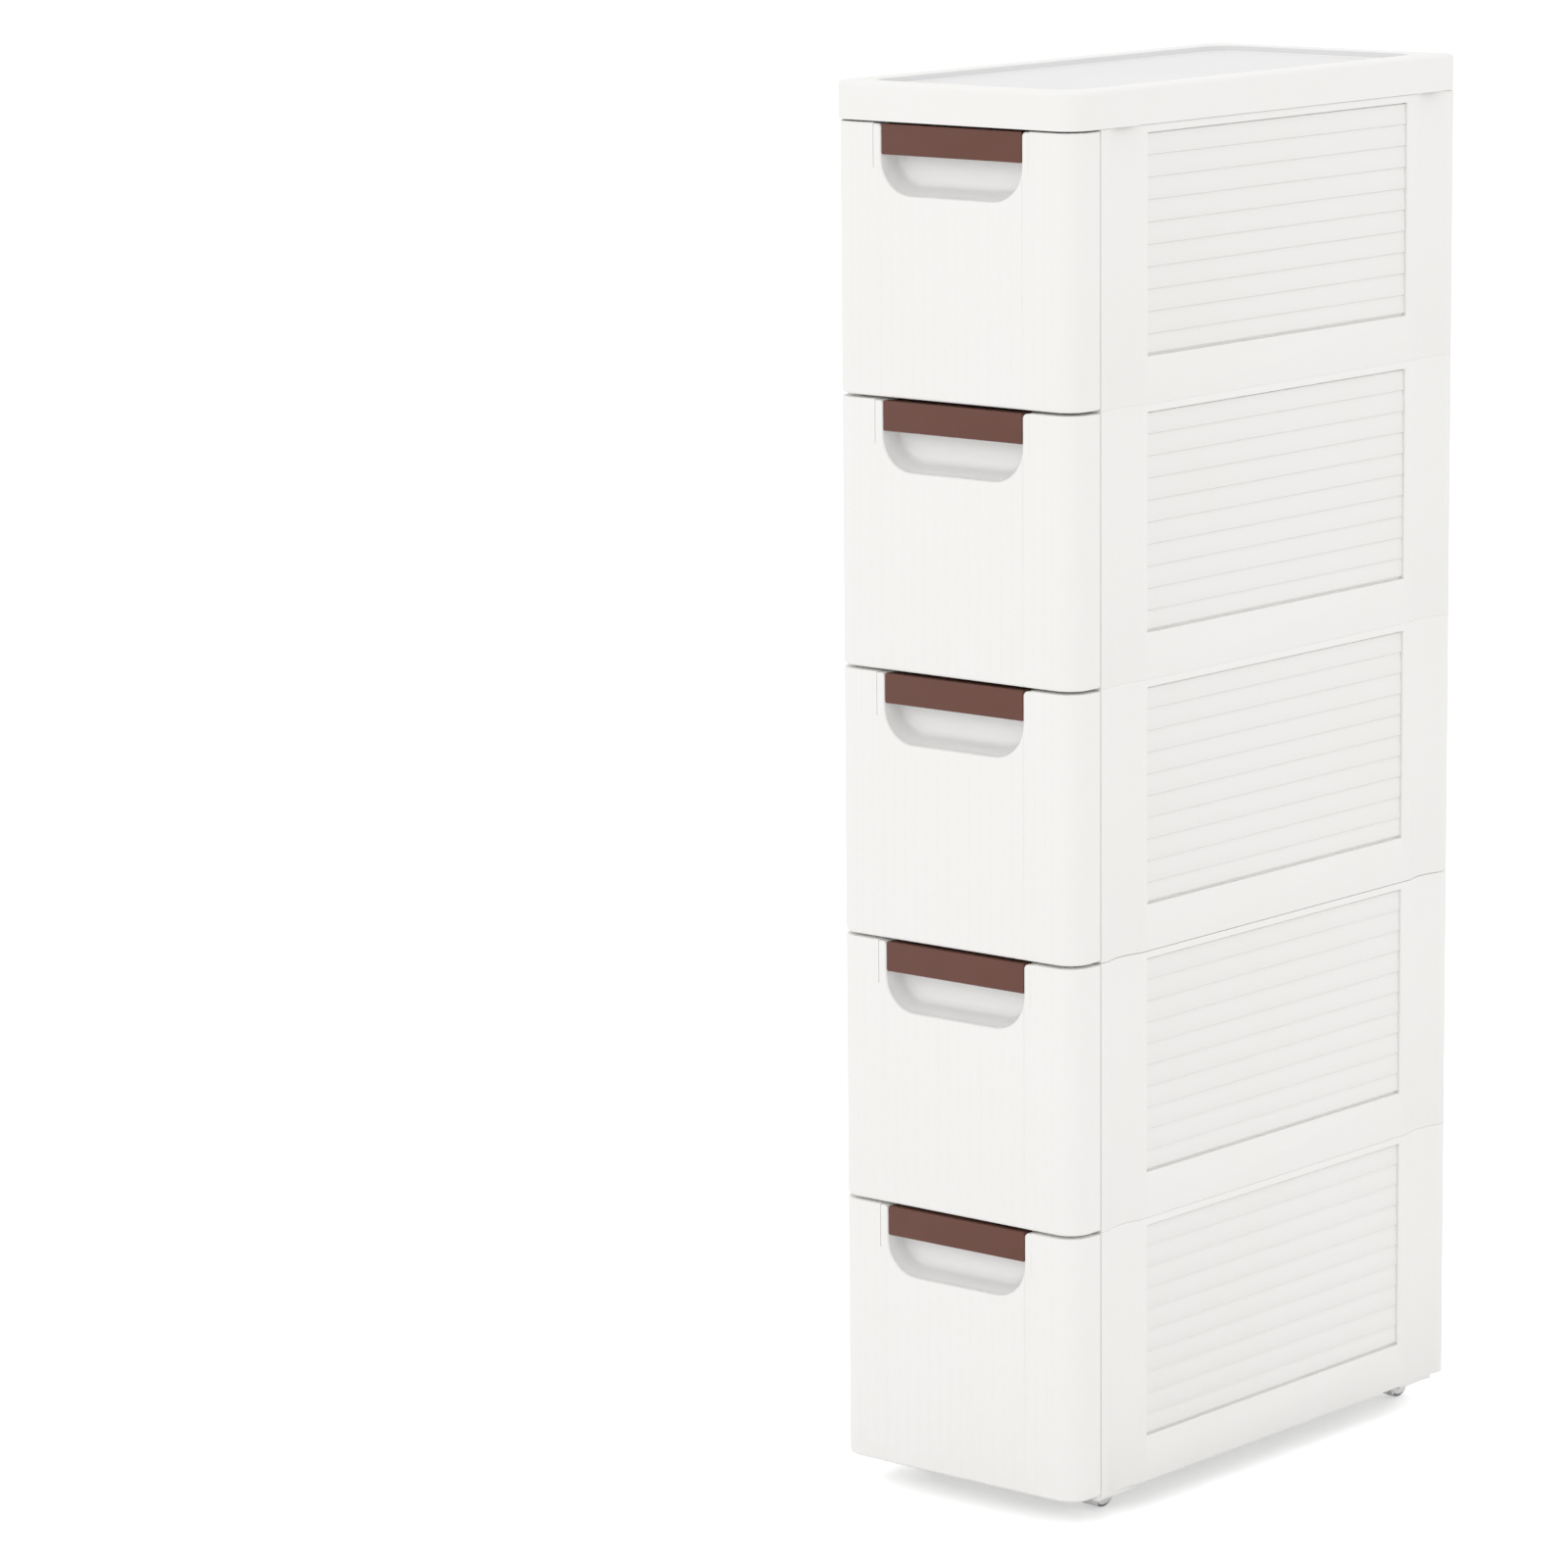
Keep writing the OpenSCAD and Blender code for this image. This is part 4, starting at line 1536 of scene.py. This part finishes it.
@dataclass(frozen=True)
class Lamp:
    """A square soft lamp.

    Args:
        name: the lamp's name.
        place: its place in metres.
        size: its side in metres.
        power: its power in watts.
    """

    name: str
    place: tuple[float, float, float]
    size: float
    power: float

    def hang(self, target: Vector) -> None:
        """Hangs the lamp.

        Args:
            target: the place it faces, in metres.
        """
        lamp = bpy.data.lights.new(self.name, "AREA")
        lamp.shape, lamp.size, lamp.energy = "SQUARE", self.size, self.power
        ob = bpy.data.objects.new(self.name, lamp)
        bpy.context.scene.collection.objects.link(ob)
        ob.location = self.place
        ob.rotation_mode = "QUATERNION"
        ob.rotation_quaternion = (target - Vector(self.place)).to_track_quat("-Z", "Y")


@dataclass
class Studio:
    """A white sweep, soft light all round and the photograph's camera, in metres.

    The camera sees the floor in white paint with a glow, which leaves only the deeper
    part of the tower's shadow on it. Reflections see it white, and everything else
    meets a slightly darker paint.
    """

    sky: float = 1.0
    lamps: tuple[Lamp, ...] = (
        Lamp("front_softbox", (-1.2, -3.2, 2.6), 2.2, 4.0),
        Lamp("small_key", (-1.0, -3.6, 2.2), 0.25, 3.0),
    )
    lit: tuple[float, float, float] = (0.0, 0.0, 0.5)
    floor_size: float = 120.0
    floor_drop: float = 0.0004
    bounce: float = 0.9
    paint: float = 0.95
    glow: float = 0.46
    sensor: float = 36.0
    clip: tuple[float, float] = (0.1, 200.0)
    lens: float = 147.73
    stand: tuple[float, float, float] = (2.59944, -3.41592, 1.25968)
    look: tuple[float, float, float] = (-0.639275, 0.746869, -0.183068)
    rise: tuple[float, float, float] = (-0.111741, 0.145317, 0.983055)

    def _floor(self) -> None:
        """Lays the white floor."""
        Blank.leave_edit()
        place = (0, 0, -self.floor_drop)
        bpy.ops.mesh.primitive_plane_add(size=self.floor_size, location=place)
        floor = bpy.context.active_object
        floor.name = "studio_floor"
        made = bpy.data.materials.new("studio_white")
        made.use_nodes = True
        g = Graph(made.node_tree)
        dull, white, paint = (
            g.add("ShaderNodeBsdfDiffuse", None, {"Color": (grey, grey, grey, 1.0)})
            for grey in (self.bounce, 1.0, self.paint)
        )
        glow = {"Color": (1.0, 1.0, 1.0, 1.0), "Strength": self.glow}
        lift = g.add("ShaderNodeEmission", None, glow)
        seen = g.add("ShaderNodeAddShader", None, {0: paint, 1: lift})
        mirrored = g.add("ShaderNodeLightPath", result="Is Glossy Ray")
        direct = g.add("ShaderNodeLightPath", result="Is Camera Ray")
        plain = g.add("ShaderNodeMixShader", None, {0: mirrored, 1: dull, 2: white})
        both = g.add("ShaderNodeMixShader", None, {0: direct, 1: plain, 2: seen})
        g.add("ShaderNodeOutputMaterial", None, {"Surface": both})
        floor.data.materials.append(made)

    def _sky(self) -> None:
        """Sets a plain white world."""
        world = bpy.data.worlds.new("studio_sky")
        world.use_nodes = True
        bpy.context.scene.world = world
        g = Graph(world.node_tree)
        white = g.add("ShaderNodeBackground", None, {"Color": (1, 1, 1, 1), "Strength": self.sky})
        g.add("ShaderNodeOutputWorld", None, {"Surface": white})

    def _camera(self) -> None:
        """Sets the camera where the photograph was taken from."""
        data = bpy.data.cameras.new("photo_camera")
        data.lens, data.sensor_width = self.lens, self.sensor
        data.clip_start, data.clip_end = self.clip
        camera = bpy.data.objects.new("photo_camera", data)
        bpy.context.scene.collection.objects.link(camera)
        back = -Vector(self.look).normalized()
        right = Vector(self.rise).cross(back).normalized()
        up = back.cross(right)
        turn = Matrix((right, up, back)).transposed().to_4x4()
        camera.matrix_world = Matrix.Translation(Vector(self.stand)) @ turn
        bpy.context.scene.camera = camera

    def build(self) -> None:
        """Sets up floor, sky, lamps, camera and view transform."""
        self._floor()
        self._sky()
        for lamp in self.lamps:
            lamp.hang(Vector(self.lit))
        self._camera()
        bpy.context.scene.view_settings.view_transform = "Standard"


def main() -> None:
    """Builds the tower piece by piece, then the studio."""
    logging.basicConfig(level=logging.INFO, format="%(message)s")
    tower = Tower()
    for assembly in (
        TopCover(tower),
        SideWalls(tower),
        BackPanels(tower),
        Drawers(tower),
        Casters(tower),
        CarriedOver(),
        Studio(),
    ):
        assembly.build()
    Blank.leave_edit()


if __name__ == "__main__":
    main()
